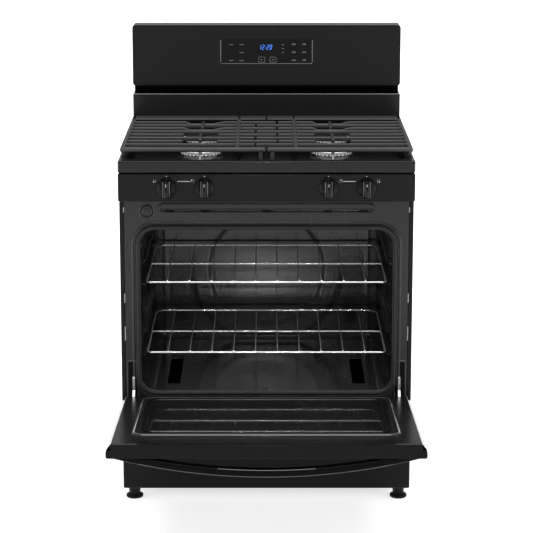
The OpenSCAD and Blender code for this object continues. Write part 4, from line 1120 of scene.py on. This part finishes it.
def door_side(sign):
    """The door's side from its bevel to the liner's edge: a strip between two upright lines."""
    z = np.array([outer_lo[2] + 0.001, trim_lo[2] - 0.0002])
    edge = [(outer_hi[0] + 0.00005, bevel_y - 0.001), (outer_hi[0] - 0.0004, bevel_y + 0.0006),
            (liner_hi[0] + 0.0008, liner_y - 0.0012), (liner_hi[0] + 0.0002, liner_y + 0.0002)]
    p = np.array([[(sign * x, y, h) for h in z] for x, y in edge])
    return swung(p[::-1] if sign > 0 else p)


def pale_look(p):
    brushed = p.stretched(900.0, 20.0, 20.0).noise(1.0, 2.0)
    return {"Base Color": brushed.tint((0.66, 0.66, 0.65), (0.78, 0.78, 0.77)),
            "Roughness": brushed * 0.2 + 0.35,
            "Normal": brushed.bump(0.05, 0.0005)}


pale_steel = finish_of("pale_coated_steel", {"Metallic": 0.25}, pale_look)
piece("door_outer_panel.sides", [open_skin(door_side(sign)) for sign in (-1, 1)],
      pale_steel, "oven_door", wall=0.0004, outward=False)
repaint(black_enamel, "door_outer_panel")


def trim_rows():
    """The trim's outline seen from above, stepped towards the liner, carried up to a rounded top edge."""
    wide, narrow, front, back = trim_hi[0], liner_hi[0], trim_lo[1], trim_hi[1]
    step = front + 0.018
    right = [(wide - 0.004, front), (wide - 0.0012, front + 0.0012), (wide, front + 0.004),
             (wide, step - 0.003), (wide - 0.001, step - 0.0008), (wide - 0.003, step + 0.0006),
             (narrow + 0.0022, step + 0.002), (narrow + 0.0006, step + 0.0035), (narrow, step + 0.006),
             (narrow, back - 0.005), (narrow - 0.0014, back - 0.0014), (narrow - 0.005, back)]
    ring = np.array(right + [(-x, y) for x, y in right[::-1]])
    rows = []
    centre = np.array([0, (front + back) / 2])
    top, edge_r = trim_hi[2], 0.0022
    heights = [(trim_lo[2], 0.0), (top - 0.0030, 0.0)]
    heights += [(top - edge_r * (1 - math.sin(t)), edge_r * (1 - math.cos(t)))
                for t in np.linspace(0, math.pi / 2, 6)]
    for z, drawn_in in heights + [(top, 0.0030)]:
        size = 1 - drawn_in / np.array([wide, (back - front) / 2])
        row = centre + (ring - centre) * size
        rows.append(np.concatenate([row, np.full((len(row), 1), z)], 1))
    return swung(np.array(rows))


trim_enamel = finish_of("trim_enamel", {"Specular IOR Level": 0.07},
                        ripple_look((0.0035, 0.0035, 0.0037), 0.1, 0.06))
piece("door_top_trim.moulded", [skin(trim_rows())], trim_enamel, "oven_door",
      ["door_top_trim"])

grip_lo, grip_hi = shut_box("door_handle")
grip_half, grip_out = grip_hi[0], trim_lo[1] - grip_lo[1]
bow_r = (grip_half ** 2 + grip_out ** 2) / (2 * grip_out)
handle_t = 0.0195
handle_plastic = finish_of("handle_plastic", {"Specular IOR Level": 0.04},
                           moulded_look((0.0012, 0.0012, 0.0013), 0.12, 1800.0))


def handle_rows():
    """A rounded section carried along a bow: depth = front + R - sqrt(R^2 - x^2), never behind the trim."""
    x = np.linspace(-grip_half, grip_half, 81)
    depth = grip_lo[1] + bow_r - np.sqrt(bow_r ** 2 - x ** 2)
    section = outline(0.0, grip_lo[2], handle_t, grip_hi[2], 0.0055, 7)
    y = depth[:, None] + section[None, :, 0]
    y = np.minimum(y, trim_lo[1] + 0.0004)
    z = np.repeat(section[None, :, 1], len(x), 0)
    return swung(np.stack([np.repeat(x[:, None], section.shape[0], 1), y, z], -1))


piece("door_handle.moulded", [skin(handle_rows())], handle_plastic, "oven_door",
      ["door_handle"])


def handle_highlight_line(reach, inward, r):
    """A painted highlight line on the handle's upper face: a thin wire on the same circle as the bow, moved
    inwards.
    """
    x = np.linspace(-reach, reach, 61)
    y = grip_lo[1] + bow_r - np.sqrt(bow_r ** 2 - x ** 2) + inward
    return wire(swung(np.stack([x, y, np.full(len(x), grip_hi[2] - 0.0009)], -1)), r, 8)


# Both lines are paler than the handle: painted highlights, a short bright one along its inner edge in the
# middle and a dimmer one along its outer edge.
inner_highlight_paint = finish_of("handle_painted_highlight", {"Specular IOR Level": 0.5},
                         moulded_look((0.10, 0.10, 0.10), 0.3, 1800.0))
line_r = 0.0008
piece("door_handle.highlight_inner", [handle_highlight_line(0.115, 0.0178, line_r)],
      inner_highlight_paint, "oven_door")
outer_highlight_paint = finish_of("handle_rim_painted_highlight", {"Specular IOR Level": 0.4},
                               moulded_look((0.035, 0.035, 0.035), 0.3, 1800.0))
piece("door_handle.highlight_outer", [handle_highlight_line(0.300, 0.0022, line_r)],
      outer_highlight_paint, "oven_door")


# ---- drawer ----
# A drawn steel front in gloss black enamel with rounded edges, screwed to the drawer's folded steel tub.
# The tub is painted black too, so nothing bright shows beside the front: partly the tub's own paint, partly
# painted shade for the gap beside the front.
enamelled_box("drawer_front", 0.005, 0.005, black_enamel, "drawer")
repaint(black_enamel, "drawer_tub")
